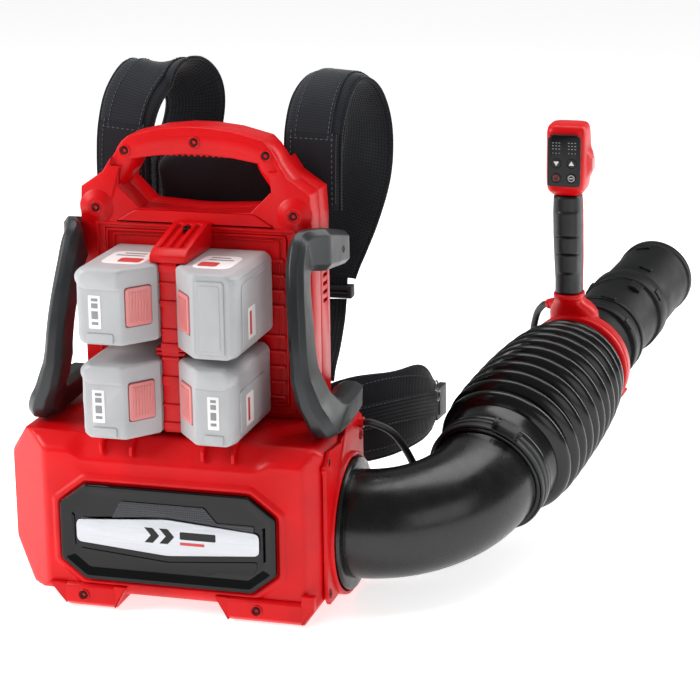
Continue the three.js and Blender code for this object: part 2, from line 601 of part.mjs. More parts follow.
// The clip holds the control cable on the underside of the hose.
const under = V(-0.66, 0.28, -0.7).normalize();
const underOut = under.clone().addScaledVector(hoseDir, -under.dot(hoseDir)).normalize();
const clipFrom = runPoint(CLIP.from).addScaledVector(underOut, CLIP.reach);
const clipTo = runPoint(CLIP.to).addScaledVector(underOut, CLIP.reach);
const clipMid = runPoint((CLIP.from + CLIP.to) / 2).addScaledVector(underOut, CLIP.reach - 4);
const clip = new THREE.BoxGeometry(CLIP.width, CLIP.to - CLIP.from - 2 * GAP, 22);
clip.applyMatrix4(new THREE.Matrix4().makeBasis(
  V().crossVectors(hoseDir, underOut).normalize(), hoseDir, underOut));
clip.translate(clipMid.x, clipMid.y, clipMid.z);
const clampBore = loft(along([[-10, 63.3], [30, 63.3]], 24));
add("hose_clamp", "steel", union([clampBand, solid(lug), solid(clip)]).subtract(clampBore));

const outerProfile = [[CUFF.start, CUFF.r], [CUFF.end, CUFF.r]];
const pitch = (BELLOWS.last - BELLOWS.first) / BELLOWS.ribs;
for (let i = 0; i < BELLOWS.ribs; i++) {
  const l = BELLOWS.first + pitch * i;
  const valley = RIB_R[i] - 10;
  outerProfile.push([l, valley], [l + pitch / 2, RIB_R[i]]);
}
outerProfile.push([BELLOWS.last, BELLOWS.tipR], [BELLOWS.end, BELLOWS.tipR]);
const innerProfile = [
  [BELLOWS.end, BELLOWS.tipBore], [246, BELLOWS.tipBore], [225, 57], [150, 63], [60, 62], [46, CUFF.bore],
  [CUFF.start, CUFF.bore],
];
add("bellows", "hose_rubber", loft(along([...outerProfile, ...innerProfile]), true));

const tubeRing = (list, count = 24) => loft(along(list, count), true);
const T = TUBE;
add("tube_1", "charcoal_plastic", tubeRing([
  [TUBE_1.a, T.r], [335, T.r], [335, 51], [350, 51], [350, T.r + 2.6], [TUBE_1.b, T.r + 2.6],
  [TUBE_1.b, T.r + 0.9], [346, T.r + 0.9], [344, T.bore], [TUBE_1.a, T.bore],
]));
add("tube_2", "charcoal_plastic", tubeRing([
  [TUBE_2.a, T.r], [TUBE_1.b + 1, T.r], [TUBE_1.b + 1, 50.5], [TUBE_1.b + 11, 50.5],
  [TUBE_1.b + 13, T.r], [440, T.r - 0.5], [440, 50], [TUBE_2.b, 50], [TUBE_2.b, T.r - 0.1],
  [450, T.r - 0.1], [446, T.bore - 0.5], [TUBE_2.a, T.bore],
]));
add("nozzle", "charcoal_plastic", tubeRing([
  [NOZZLE.a, T.r - 1.2], [TUBE_2.b + 1, T.r - 1.2], [TUBE_2.b + 3, T.r - 0.6], [570, 45.4], [570, 47.4],
  [NOZZLE.b, 47.4], [NOZZLE.b, NOZZLE.mouth + 1], [NOZZLE.a, T.bore - 0.6],
]));

// ---------------------------------------------------------------- handset
const collarRing = loft(along([[COLLAR.a, COLLAR.r], [COLLAR.b, COLLAR.r - 2]], 28));
const tubeBore = loft(along([[240, T.r + 0.4], [320, T.r + 0.4]], 28));
const bellowsTip = loft(along([[240, BELLOWS.tipR + 0.4], [COLLAR.a, BELLOWS.tipR + 0.4]], 28));
const gx = (z) => GRIP.x + GRIP.lean * (z - GRIP.z0);
function oval(z, hx, hy, count = 16, dx = 0, dy = 0) {
  const ring = [];
  for (let k = 0; k < count; k++) {
    const a = (2 * Math.PI * k) / count;
    const c = Math.cos(a);
    const s = Math.sin(a);
    const px = Math.sign(c) * Math.pow(Math.abs(c), 0.8) * hx;
    const py = Math.sign(s) * Math.pow(Math.abs(s), 0.8) * hy;
    ring.push(V(gx(z) + dx + px, GRIP.y + dy + py, z));
  }
  return ring;
}
const pedestal = loft([
  oval(200, 28, 22, 16, 4, 16), oval(222, 27, 22, 16, 3, 12), oval(234, 21, 22, 16, 1, 5),
  oval(GRIP.z0 - GAP, 16, 21),
]);
// The control cable ends in a short gland on the pedestal.
const glandEnd = V(297, 372, 225);
const glandDir = V(0.77, -0.55, 0.33).normalize();
const glandRoot = glandEnd.clone().addScaledVector(glandDir, 18);
const gland = loft([circle(glandEnd, glandDir, GLAND_R, 16), circle(glandRoot, glandDir, GLAND_R, 16)]);
const collarBody = union([collarRing, pedestal, gland]);
add("handle_collar", "red_plastic", collarBody.subtract(tubeBore).subtract(bellowsTip));

const gripBody = loft([
  oval(GRIP.z0, 15.5, 20), oval(262, 15, 19.5), oval(290, 16, 20.5), oval(318, 16.5, 21),
  oval(340, 16.5, 20.5), oval(GRIP.z1, 16, 20.5),
]);
const triggerRoom = box(gx(338) - 8.4, gx(338) + 8.4, 360.5, 390, 309, 357);
add("grip", "grip_rubber", gripBody.subtract(triggerRoom));
const triggerShape = [
  [361.5, 354], [378, 354], [381, 340], [379, 326], [381, 312], [376, 310], [370, 322], [366, 340],
  [361.5, 346],
];
add("trigger", "dark_plastic", prism(triggerShape, "x", gx(338) - 7.6, gx(338) + 7.6));

const headSide = [
  [326, HEAD.z0], [HEAD.back - 6, HEAD.z0], [HEAD.back, 372], [HEAD.back, 424], [362, HEAD.z1],
  [330, HEAD.z1], [HEAD.front, 434], [HEAD.front, 368],
];
const headPlan = [
  [HEAD.x0 + 4, HEAD.front], [HEAD.x1 - 4, HEAD.front], [HEAD.x1, 330], [HEAD.x1, 364], [333, HEAD.back],
  [312, HEAD.back], [HEAD.x0, 364], [HEAD.x0, 330],
];
add("head", "red_plastic", prism(headSide, "x", 295, 350).intersect(prism(headPlan, "z", 350, 450)));
const PANEL = [
  [305, 374], [340, 374], [341, 377], [341, 427], [337, 432], [308, 432], [304, 427], [304, 377],
];
const KEYS = {
  key_down: [314, 400, "key_grey"],
  key_up: [331, 400, "key_grey"],
  key_power: [314, 383.5, "key_red"],
  key_mode: [331, 383.5, "key_grey"],
};
function studY(x, z, r, y0, y1) {
  return loft([circle(V(x, y0, z), V(0, 1, 0), r, 14), circle(V(x, y1, z), V(0, 1, 0), r, 14)]);
}
let panel = prism(PANEL, "y", HEAD.front - 3.3, HEAD.front - GAP);
for (const [x, z] of Object.values(KEYS)) panel = panel.subtract(studY(x, z, 5.4, 300, 340));
add("key_panel", "black_gloss", panel);
for (const [name, [x, z, paint]] of Object.entries(KEYS)) {
  add(name, paint, studY(x, z, 5, HEAD.front - 4.2, HEAD.front - 1.4));
}

// ---------------------------------------------------------------- control cable
const from = (point, dir, far) => point.clone().addScaledVector(dir, far);
const exitX = H.x1 + CABLE_EXIT.length + 2 * GAP;
add("cable_lower", "cable_rubber", cord([
  V(exitX, CABLE_EXIT.y, CABLE_EXIT.z), V(172, CABLE_EXIT.y, CABLE_EXIT.z), V(192, 70, 152), V(208, 90, 112),
  V(216, 96, 72), from(clipFrom, hoseDir, -14), from(clipFrom, hoseDir, -GAP),
], CABLE_R, 4, 24));
add("cable_upper", "cable_rubber", cord([
  from(clipTo, hoseDir, GAP), from(clipTo, hoseDir, 14), from(runPoint(70), under, 88),
  from(runPoint(150), under, 90), from(runPoint(230), under, 86), from(runPoint(300), under, 70),
  V(276, 396, 172), V(280, 388, 206), from(glandEnd, glandDir, -9), from(glandEnd, glandDir, -GAP),
], CABLE_R, 4, 36));

// ---------------------------------------------------------------- the part's own origin
const bounds = new THREE.Box3().setFromObject(model);
const home = bounds.getCenter(V()).setZ(bounds.min.z);
model.children.forEach((mesh) => mesh.geometry.translate(-home.x, -home.y, -home.z));

export default model;
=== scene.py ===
# %% [markdown]
# # A backpack leaf blower
# The blower is a red moulded case with a fan inside, four battery packs, a padded harness and a long air
# hose with a control handle. The CAD frame gives every size. This script adds the surfaces and finishes.

# %% Load the frame
import math

import bmesh
import bpy
import numpy as np
from mathutils import Matrix, Vector


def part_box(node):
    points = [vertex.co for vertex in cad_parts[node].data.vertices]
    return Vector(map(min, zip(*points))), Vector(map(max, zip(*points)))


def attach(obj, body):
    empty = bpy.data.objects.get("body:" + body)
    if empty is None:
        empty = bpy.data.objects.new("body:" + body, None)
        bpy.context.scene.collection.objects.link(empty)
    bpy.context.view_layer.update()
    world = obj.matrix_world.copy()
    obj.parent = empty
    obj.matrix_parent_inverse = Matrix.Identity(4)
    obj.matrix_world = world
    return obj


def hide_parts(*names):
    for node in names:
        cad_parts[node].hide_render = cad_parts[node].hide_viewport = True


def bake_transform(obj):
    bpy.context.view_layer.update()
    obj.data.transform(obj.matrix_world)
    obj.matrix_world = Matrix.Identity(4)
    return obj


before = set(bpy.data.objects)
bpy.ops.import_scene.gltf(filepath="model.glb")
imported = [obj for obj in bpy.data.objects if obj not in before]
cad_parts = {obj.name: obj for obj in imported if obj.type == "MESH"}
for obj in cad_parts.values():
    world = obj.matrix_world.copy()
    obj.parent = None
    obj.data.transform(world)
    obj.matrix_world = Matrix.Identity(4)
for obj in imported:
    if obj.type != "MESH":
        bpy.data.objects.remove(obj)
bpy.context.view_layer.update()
bpy.context.scene.view_settings.view_transform = "Standard"

# %% [markdown]
# ## Drawing axes
# The drawing measures in millimetres from the middle of the case at floor level. The left foot's front
# corner is a point that both the drawing and the frame know, so it ties the two together.

# %% From the drawing to the frame
MM = 0.001
FOOT_CORNER = np.array([-113.0, -108.0, 0.0])
HOME = FOOT_CORNER - np.array(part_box("foot_left")[0]) / MM


def at(points):
    """Drawing millimetres to metres in the frame: subtract the origin, then scale."""
    return (np.asarray(points, float) - HOME) * MM


print("drawing origin", at([0, 0, 0]))

# %% [markdown]
# ## The camera
# The camera stands in front of the badge, a little to the right and above, with a long lens.

# %% Camera
AIM = np.array([163.66, 0.0, 262.03])
CAMERA_AZ, CAMERA_EL, CAMERA_ROLL = np.radians([15.74, 15.51, -0.70])
CAMERA_FAR = 2300.0
back = np.array([
    math.sin(CAMERA_AZ) * math.cos(CAMERA_EL),
    -math.cos(CAMERA_AZ) * math.cos(CAMERA_EL),
    math.sin(CAMERA_EL),
])
level = np.array([math.cos(CAMERA_AZ), math.sin(CAMERA_AZ), 0.0])
upward = np.cross(back, level)
right = math.cos(CAMERA_ROLL) * level + math.sin(CAMERA_ROLL) * upward
lens = bpy.data.cameras.new("camera")
lens.lens, lens.sensor_width = 116.9, 36.0
lens.clip_end = 50.0
camera = bpy.data.objects.new("camera", lens)
turned_axes = np.stack([right, np.cross(back, right), back], 1)
camera.rotation_euler = Matrix(turned_axes.tolist()).to_euler()
camera.location = at(AIM + CAMERA_FAR * back)
bpy.context.scene.collection.objects.link(camera)
bpy.context.scene.camera = camera
print("camera at", camera.location)

# %% [markdown]
# ## Surfaces from grids
# Each new piece is a grid of points: rows run along the piece and columns run round it. Neighbouring
# points make the faces, and the last row or column can join the first to close the surface.

# %% Grid surfaces
def unit(v):
    """Vectors divided by their own length."""
    return v / np.maximum(np.linalg.norm(v, axis=-1, keepdims=True), 1e-9)


def span(points, axis):
    """Mean distance in metres walked along a grid's rows or columns, with one more step to close it."""
    step = np.linalg.norm(np.roll(points, -1, axis) - points, axis=-1).mean(1 - axis)
    return np.concatenate([[0], np.cumsum(step)]) * MM


def shell(points, ring=False, round_cols=True, slot=0, slots=None):
    """A grid of rows x columns x 3 as quads. ring joins the last row to the first; otherwise both ends
    get a flat cap. slots gives one material number for each column of faces."""
    rows, cols = points.shape[:2]
    r = np.arange(rows if ring else rows - 1)[:, None]
    c = np.arange(cols if round_cols else cols - 1)[None, :]
    r1, c1 = (r + 1) % rows, (c + 1) % cols
    quads = np.stack([r * cols + c, r * cols + c1, r1 * cols + c1, r1 * cols + c], -1).reshape(-1, 4)
    u, v = span(points, 0), span(points, 1)
    corner = [(u[r] + 0 * c, v[c] + 0 * r), (u[r] + 0 * c, v[c + 1] + 0 * r),
              (u[r + 1] + 0 * c, v[c + 1] + 0 * r), (u[r + 1] + 0 * c, v[c] + 0 * r)]
    uv = np.stack([np.stack(k, -1) for k in corner], 2).reshape(-1, 2)
    kind = np.full(r.size * c.size, slot)
    if slots is not None:
        kind = np.tile(slots, r.size)
    faces = quads.tolist()
    if not ring and round_cols:
        faces += [list(range(cols)), list(range((rows - 1) * cols, rows * cols))]
        uv = np.concatenate([uv, np.zeros((2 * cols, 2))])
        kind = np.concatenate([kind, [kind[0], kind[-1]]])
    return {"points": points.reshape(-1, 3), "faces": faces, "uv": uv, "slots": kind}


def dress(obj, body, nodes=()):
    """Rides the piece on its body and hides the CAD nodes it stands for."""
    if body is not None:
        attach(obj, body)
    if nodes:
        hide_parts(*([nodes] if isinstance(nodes, str) else nodes))
    return obj


def closed_up(mesh, sharp):
    """Turns faces outwards and shades the surface smooth except where it turns by more than sharp."""
    bm = bmesh.new()
    bm.from_mesh(mesh)
    bmesh.ops.recalc_face_normals(bm, faces=bm.faces)
    bm.to_mesh(mesh)
    bm.free()
    mesh.shade_smooth()
    mesh.set_sharp_from_angle(angle=math.radians(sharp))


def piece(name, shells, materials, body, nodes=(), sharp=38):
    """Joins shells into one mesh object at the origin and dresses it."""
    shells = shells if isinstance(shells, list) else [shells]
    starts = np.cumsum([0] + [len(s["points"]) for s in shells])
    faces = [[i + int(k) for i in f] for s, k in zip(shells, starts) for f in s["faces"]]
    mesh = bpy.data.meshes.new(name)
    mesh.from_pydata(at(np.concatenate([s["points"] for s in shells])).tolist(), [], faces)
    mesh.uv_layers.new(name="UVMap").data.foreach_set(
        "uv", np.concatenate([s["uv"] for s in shells]).astype(np.float32).ravel())
    for m in materials if isinstance(materials, list) else [materials]:
        mesh.materials.append(m)
    kinds = np.concatenate([s["slots"] for s in shells]).astype(np.int32)
    mesh.polygons.foreach_set("material_index", kinds)
    closed_up(mesh, sharp)
    obj = bpy.data.objects.new(name, mesh)
    bpy.context.scene.collection.objects.link(obj)
    return dress(obj, body, nodes)


# %% [markdown]
# ## Outlines, plates and sweeps
# Most moulded parts are an outline carried through a few levels, with a small rounding at each edge.
# Straps, ribs and cables are a section carried along a path.

# %% Outlines and sweeps
FRONT = (np.zeros(3), np.array([1.0, 0, 0]), np.array([0, 0, 1.0]))  # heights are measured towards -Y


def rounded(corners, radius, steps=5):
    """A closed outline: each corner becomes a curve pulled towards the corner between two points that
    lie a radius before and after it."""
    c = np.asarray(corners, float)
    before, after = np.roll(c, 1, 0) - c, np.roll(c, -1, 0) - c
    reach = np.minimum(radius, 0.45 * np.minimum(
        np.linalg.norm(before, axis=1), np.linalg.norm(after, axis=1)))[:, None]
    t = np.linspace(0, 1, steps + 1)[None, :, None]
    p0, p2 = (c + unit(before) * reach)[:, None], (c + unit(after) * reach)[:, None]
    return ((1 - t) ** 2 * p0 + 2 * t * (1 - t) * c[:, None] + t ** 2 * p2).reshape(-1, 2)


def inset(ring, by):
    """Each point of a closed outline moves inwards along the normal to its neighbours' chord."""
    chord = unit(np.roll(ring, -1, 0) - np.roll(ring, 1, 0))
    area = np.sum(ring[:, 0] * np.roll(ring[:, 1], -1) - ring[:, 1] * np.roll(ring[:, 0], -1))
    return ring + np.sign(area) * by * np.stack([-chord[:, 1], chord[:, 0]], 1)


def lift(ring, height, plane=FRONT):
    """Outline points on a plane (origin, u, v), raised along its normal."""
    origin, u, v = (np.asarray(k, float) for k in plane)
    return origin + ring[:, :1] * u + ring[:, 1:] * v + height * np.cross(u, v)


def eased(low, high, radius, steps=4):
    """Levels (inset, height) of a plate with a quarter-round at both edges."""
    a = np.linspace(0, np.pi / 2, steps + 1)
    start = np.stack([radius * (1 - np.sin(a)), low + radius * (1 - np.cos(a))], 1)
    end = np.stack([radius * (1 - np.cos(a)), high - radius * (1 - np.sin(a))], 1)
    return np.concatenate([start, end])


def plate(ring, levels, plane=FRONT, **more):
    """An outline carried through levels of (inset, height)."""
    return shell(np.stack([lift(inset(ring, d), h, plane) for d, h in levels]), **more)


def tablet(corners, low, high, corner=3.0, edge=0.8, plane=FRONT, **more):
    """A flat plate with rounded corners and rounded edges."""
    return plate(rounded(corners, corner), eased(low, high, edge), plane, **more)


def rect(x0, x1, z0, z1):
    """The four corners of a rectangle, anticlockwise."""
    return [(x0, z0), (x1, z0), (x1, z1), (x0, z1)]


def mirror(points):
    """The points, then their mirror images in reverse, as one closed outline."""
    p = np.asarray(points, float)
    return np.concatenate([p, p[::-1] * [-1, 1]])


def smooth(points, count):
    """A Catmull-Rom curve through the points, walked at even steps."""
    p = np.asarray(points, float)
    p = np.concatenate([[2 * p[0] - p[1]], p, [2 * p[-1] - p[-2]]])
    t = np.linspace(0, len(p) - 3 - 1e-9, 24 * (len(p) - 3))
    k = t.astype(int)
    f = (t - k)[:, None]
    a, b, c, d = p[k], p[k + 1], p[k + 2], p[k + 3]
    q = 0.5 * (2 * b + (c - a) * f + (2 * a - 5 * b + 4 * c - d) * f ** 2
               + (3 * b - a - 3 * c + d) * f ** 3)
    walked = np.concatenate([[0], np.cumsum(np.linalg.norm(np.diff(q, axis=0), axis=1))])
    even = np.linspace(0, walked[-1], count)
    return np.stack([np.interp(even, walked, q[:, i]) for i in range(q.shape[1])], 1)


def oval(a, b, count=32, power=2.0):
    """A superellipse with half sizes a and b; a higher power makes it squarer."""
    t = np.linspace(0, 2 * np.pi, count, endpoint=False)
    c, s = np.cos(t), np.sin(t)
    return np.stack([a * np.sign(c) * np.abs(c) ** (2 / power), b * np.sign(s) * np.abs(s) ** (2 / power)], 1)


def carry(path, wide, section):
    """A section (width, thickness) carried along a path. wide is the width direction at each point, made
    square to the path; thickness is square to both."""
    along = unit(np.gradient(path, axis=0))
    w = np.broadcast_to(np.asarray(wide, float), path.shape)
    w = unit(w - along * np.sum(w * along, 1, keepdims=True))
    t = np.cross(along, w)
    s = np.broadcast_to(section, (len(path),) + np.shape(section)[-2:])
    return path[:, None] + s[..., :1] * w[:, None] + s[..., 1:] * t[:, None]


def rod(path, radius, count=12, wide=(0.3, 0.2, 1.0)):
    """A round rod along a path."""
    return shell(carry(np.asarray(path, float), wide, oval(radius, radius, count)))


# %% [markdown]
# ## Finishes
# One function turns sRGB hex colours to linear light, and one adds a node with its settings and links.
# Patterns use Object coordinates, in metres, or the piece's own UV map where a weave follows the cloth.

# %% Colour and nodes
def linear(code):
    """An sRGB hex colour as linear RGBA."""
    s = np.array([int(code[i:i + 2], 16) for i in (1, 3, 5)]) / 255
    return (*np.where(s <= 0.04045, s / 12.92, ((s + 0.055) / 1.055) ** 2.4), 1.0)


def node(tree, kind, inputs=None, **settings):
    """Adds one node: settings are its own properties, inputs are values or sockets to link from."""
    made = tree.nodes.new("ShaderNode" + kind)
    for key, value in settings.items():
        setattr(made, key, value)
    for key, value in (inputs or {}).items():
        if isinstance(value, bpy.types.NodeSocket):
            tree.links.new(value, made.inputs[key])
        else:
            made.inputs[key].default_value = value
    return made


def finish_named(name, color, roughness, **sockets):
    """A new material with its shader's fixed values set, its node tree, and Object coordinates."""
    m = bpy.data.materials.new(name)
    m.use_nodes = True
    tree = m.node_tree
    shader = tree.nodes["Principled BSDF"]
    shader.inputs["Base Color"].default_value = linear(color)
    shader.inputs["Roughness"].default_value = roughness
    for key, value in sockets.items():
        shader.inputs[key.replace("_", " ")].default_value = value
    where = node(tree, "TexCoord")
    return m, tree, shader, where


def moulded(name, color, dark, roughness, grain_mm, depth_mm, edge_mm, scuff=0.10, **sockets):
    """An injection-moulded plastic: slow drifts of colour, a fine mould grain that gives the soft
    highlight, gloss that changes where hands rub it, and edges eased by the mould."""
    m, tree, shader, where = finish_named(name, color, roughness, **sockets)
    drift = node(tree, "TexNoise", {"Vector": where.outputs["Object"], "Scale": 14.0, "Detail": 3.0})
    tone = node(tree, "MapRange", {0: drift.outputs[0], 1: 0.35, 2: 0.65, 3: 0.0, 4: 1.0})
    mix = node(tree, "Mix", {0: tone.outputs[0], 6: linear(dark), 7: linear(color)}, data_type="RGBA")
    rub = node(tree, "TexNoise", {"Vector": where.outputs["Object"], "Scale": 55.0, "Detail": 5.0})
    gloss = node(tree, "MapRange", {
        0: rub.outputs[0], 1: 0.3, 2: 0.7, 3: max(roughness - scuff / 2, 0.04), 4: roughness + scuff / 2})
    grain = node(tree, "TexNoise", {
        "Vector": where.outputs["Object"], "Scale": 1000 / grain_mm, "Detail": 2.0, "Roughness": 0.6})
    edge = node(tree, "Bevel", {"Radius": edge_mm * MM}, samples=4)
    bump = node(tree, "Bump", {
        "Height": grain.outputs[0], "Strength": 0.6, "Distance": depth_mm * MM, "Normal": edge.outputs[0]})
    tree.links.new(mix.outputs[2], shader.inputs["Base Color"])
    tree.links.new(gloss.outputs[0], shader.inputs["Roughness"])
    tree.links.new(bump.outputs[0], shader.inputs["Normal"])
    return m


# %% [markdown]
# ### Plastics
# The case is red ABS moulded with a satin spark-eroded grain of about 0.8 mm. The trim is polished, so it
# shows long clean highlights, and the elbow is satin. Guards are glass-filled nylon with a coarser grain.

# %% Plastic finishes
red_abs = moulded("red_abs_moulded", "#d9070f", "#c4040b", 0.34, 0.8, 0.018, 1.2, 0.06,
                  Specular_IOR_Level=0.24)
black_abs = moulded("black_abs_polished", "#08090a", "#050606", 0.13, 3.0, 0.006, 0.8, 0.05,
                    Specular_IOR_Level=0.34)
nylon = moulded("charcoal_nylon_moulded", "#232628", "#1b1d1f", 0.38, 1.0, 0.05, 1.5)
dark_nylon = moulded("dark_nylon_moulded", "#1b1c1f", "#131416", 0.5, 0.9, 0.04, 0.8)
pack_case = moulded("grey_pc_abs_moulded", "#b3b4b6", "#a6a7a9", 0.42, 0.7, 0.03, 1.0)
button_abs = moulded("pink_abs_moulded", "#d98a88", "#cf7a79", 0.42, 0.6, 0.02, 0.6)
tube_pp = moulded("black_polypropylene_tube", "#0e0f10", "#090a0b", 0.46, 0.8, 0.03, 0.8,
                  Specular_IOR_Level=0.16)
duct_epdm = moulded("black_duct_rubber", "#0a0a0b", "#060607", 0.22, 1.2, 0.02, 0.5, 0.08,
                    Specular_IOR_Level=0.42)
elbow_pp = moulded("black_polypropylene_satin", "#060607", "#040405", 0.27, 1.2, 0.02, 0.5, 0.1)
grip_tpe = moulded("black_grip_rubber", "#101113", "#0a0b0c", 0.42, 0.7, 0.03, 0.5)
cable_pvc = moulded("black_cable_pvc", "#1b1c1e", "#131415", 0.42, 0.8, 0.02, 0.3)
key_abs = moulded("grey_key_abs", "#7d8185", "#6d7175", 0.4, 0.5, 0.02, 0.3)
key_red_abs = moulded("red_key_abs", "#b3161c", "#9c1016", 0.4, 0.5, 0.02, 0.3)
label_white = moulded("printed_label_white", "#e9e7e6", "#dedcdb", 0.5, 0.8, 0.01, 0.2)
label_red = moulded("printed_label_red", "#c8403f", "#bd3635", 0.5, 0.8, 0.01, 0.2)
label_grey = moulded("printed_label_grey", "#8b8d90", "#808285", 0.5, 0.8, 0.01, 0.2)

# %% [markdown]
# ### Metals
# The badge plate is brushed aluminium: the brush leaves fine grooves along its length, about 0.3 mm apart,
# which stretch the highlight. Screws are blackened steel; the shaft, the bearings and the wing rings are
# plain steel.

# %% Metal finishes
def brushed(name, color, roughness, groove_mm, length_mm):
    """A metal brushed along X: noise stretched along the stroke drives the gloss and a faint relief."""
    m, tree, shader, where = finish_named(name, color, roughness, Metallic=1.0)
    stroke = node(tree, "Mapping", {
        "Vector": where.outputs["Object"],
        "Scale": (1000 / length_mm, 1000 / groove_mm, 1000 / groove_mm)})
    lines = node(tree, "TexNoise", {"Vector": stroke.outputs[0], "Scale": 1.0, "Detail": 3.0})
    gloss = node(tree, "MapRange", {0: lines.outputs[0], 1: 0.3, 2: 0.7, 3: roughness * 0.8,
                                    4: roughness * 1.3})
    shade = node(tree, "Mix", {0: lines.outputs[0], 6: linear(color), 7: tuple(
        0.8 * c for c in linear(color)[:3]) + (1.0,)}, data_type="RGBA")
    edge = node(tree, "Bevel", {"Radius": 0.0005}, samples=4)
    bump = node(tree, "Bump", {
        "Height": lines.outputs[0], "Strength": 0.3, "Distance": 0.00004, "Normal": edge.outputs[0]})
    tree.links.new(shade.outputs[2], shader.inputs["Base Color"])
    tree.links.new(gloss.outputs[0], shader.inputs["Roughness"])
    tree.links.new(bump.outputs[0], shader.inputs["Normal"])
    return m


plate_aluminium = brushed("brushed_aluminium", "#c9ccd1", 0.34, 0.4, 30.0)
steel = brushed("zinc_plated_steel", "#9a9ca0", 0.32, 0.5, 3.0)
black_steel = brushed("blackened_steel", "#3a2a28", 0.4, 0.5, 2.0)
motor_aluminium = brushed("cast_aluminium", "#8f9297", 0.45, 0.8, 1.5)

# %% [markdown]
# ### Circuit board
# The control board is glass-epoxy under a green solder mask. Copper tracks show through as slightly lighter
# lines on a 2.5 mm grid.

# %% Board finish
board_fr4, tree, shader, where = finish_named("glass_epoxy_board", "#1c6a3b", 0.4)
tracks = node(tree, "TexBrick", {
    "Vector": where.outputs["Object"], "Color1": linear("#1c6a3b"), "Color2": linear("#175c33"),
    "Mortar": linear("#3f8f52"), "Scale": 400.0, "Mortar Size": 0.06})
tree.links.new(tracks.outputs[0], shader.inputs["Base Color"])

# %% [markdown]
# ### Fabrics
# Three cloths are sewn together in the harness: a ribbed nylon on the outside, an open spacer mesh against
# the wearer, and flat polyester webbing. Each weave is worked out from its thread spacing along the UV map,
# so the threads follow the strap round its bends. Fabric has sheen from loose fibres and almost no gloss.

# %% Fabric finishes
def woven(name, color, thread, along_mm, across_mm, depth_mm, sheen, uv=True):
    """Two crossing sine waves make the threads: their product is the relief. The colour follows the same
    relief: painted shade darkens the valleys and painted highlight lightens the crests.
    """
    m, tree, shader, where = finish_named(
        name, color, 0.85, Sheen_Weight=sheen, Sheen_Roughness=0.4, Specular_IOR_Level=0.25)
    base = where.outputs["UV" if uv else "Object"]
    part = node(tree, "SeparateXYZ", {0: base})
    waves = []
    for output, pitch in ((0, along_mm), (1 if uv else 2, across_mm)):
        turn = node(tree, "Math", {0: part.outputs[output], 1: math.pi * 1000 / pitch}, operation="MULTIPLY")
        wave = node(tree, "Math", {0: turn.outputs[0]}, operation="SINE")
        waves.append(node(tree, "Math", {0: wave.outputs[0]}, operation="ABSOLUTE"))
    weave = node(tree, "Math", {0: waves[0].outputs[0], 1: waves[1].outputs[0]}, operation="MULTIPLY")
    drift = node(tree, "TexNoise", {"Vector": where.outputs["Object"], "Scale": 25.0, "Detail": 4.0})
    lint = node(tree, "TexNoise", {"Vector": where.outputs["Object"], "Scale": 900.0, "Detail": 2.0})
    # Painted light and shade: the lighter colour lies on the weave's crests and the darker one in its
    # valleys.
    cloth = node(tree, "Mix", {0: weave.outputs[0], 6: linear(color), 7: linear(thread)}, data_type="RGBA")
    worn = node(tree, "Mix", {0: drift.outputs[0], 6: cloth.outputs[2], 7: linear(color)}, data_type="RGBA")
    height = node(tree, "Math", {0: lint.outputs[0], 1: 0.3, 2: weave.outputs[0]}, operation="MULTIPLY_ADD")
    bump = node(tree, "Bump", {"Height": height.outputs[0], "Strength": 0.8, "Distance": depth_mm * MM})
    tree.links.new(worn.outputs[2], shader.inputs["Base Color"])
    tree.links.new(bump.outputs[0], shader.inputs["Normal"])
    return m


ribbed_nylon = woven("ribbed_nylon_cloth", "#16181c", "#363a41", 3.0, 2.0, 0.35, 0.25)
spacer_mesh = woven("spacer_mesh", "#0e0f12", "#2c2f35", 3.4, 3.4, 0.6, 0.15)
webbing = woven("polyester_webbing", "#121316", "#33363b", 1.6, 4.2, 0.4, 0.2)
pad_nylon = woven("pad_nylon_cloth", "#14161a", "#262a30", 2.0, 2.0, 0.25, 0.3, uv=False)
thread = woven("sewing_thread", "#4a4e55", "#6a6f78", 0.8, 0.8, 0.1, 0.1)
print("materials", len(bpy.data.materials))

# %% [markdown]
# ## The air hose
# Everything from the elbow to the nozzle is turned about one line. The line leaves the case along X, bends
# through the elbow, runs straight, turns evenly inside the bellows and runs straight again. A radius given
# at each distance along that line is all that a round part needs.

# %% The hose line
FAN_Z = 77.0
ELBOW_X, ELBOW_STRAIGHT, ELBOW_BEND = 161.6, 8.4, 116.0
ELBOW_TURN, SWIVEL = np.radians([77.6, 16.8])
SIDEWAYS = np.array([0, math.cos(SWIVEL), math.sin(SWIVEL)])
X_AXIS, Z_AXIS = np.array([1.0, 0, 0]), np.array([0, 0, 1.0])
TUBE_DIR = unit(np.array([0.152, 0.981, 0.117]))
TURN_FROM, TURN_TO = 44.0, 256.0


def bend_point(t):
    """The elbow's centre line: a circular arc of the bend radius, by angle."""
    t = np.asarray(t, float)[..., None]
    start = np.array([ELBOW_X + ELBOW_STRAIGHT, 0, FAN_Z])
    return start + X_AXIS * ELBOW_BEND * np.sin(t) + SIDEWAYS * ELBOW_BEND * (1 - np.cos(t))


def bend_dir(t):
    """Its direction: X turning towards the sideways direction."""
    t = np.asarray(t, float)[..., None]
    return X_AXIS * np.cos(t) + SIDEWAYS * np.sin(t)


HOSE_DIR = bend_dir(ELBOW_TURN)


def run_dir(l):
    """Direction at a distance past the elbow: the elbow's end direction blended into the tube's."""
    t = np.clip((np.asarray(l, float) - TURN_FROM) / (TURN_TO - TURN_FROM), 0, 1)[..., None]
    return unit(HOSE_DIR * (1 - t) + TUBE_DIR * t)


WALK = np.arange(0, 640, 2.0)
WALKED = bend_point(ELBOW_TURN) + np.concatenate([[[0, 0, 0]], np.cumsum(2 * run_dir(WALK + 1), 0)[:-1]])


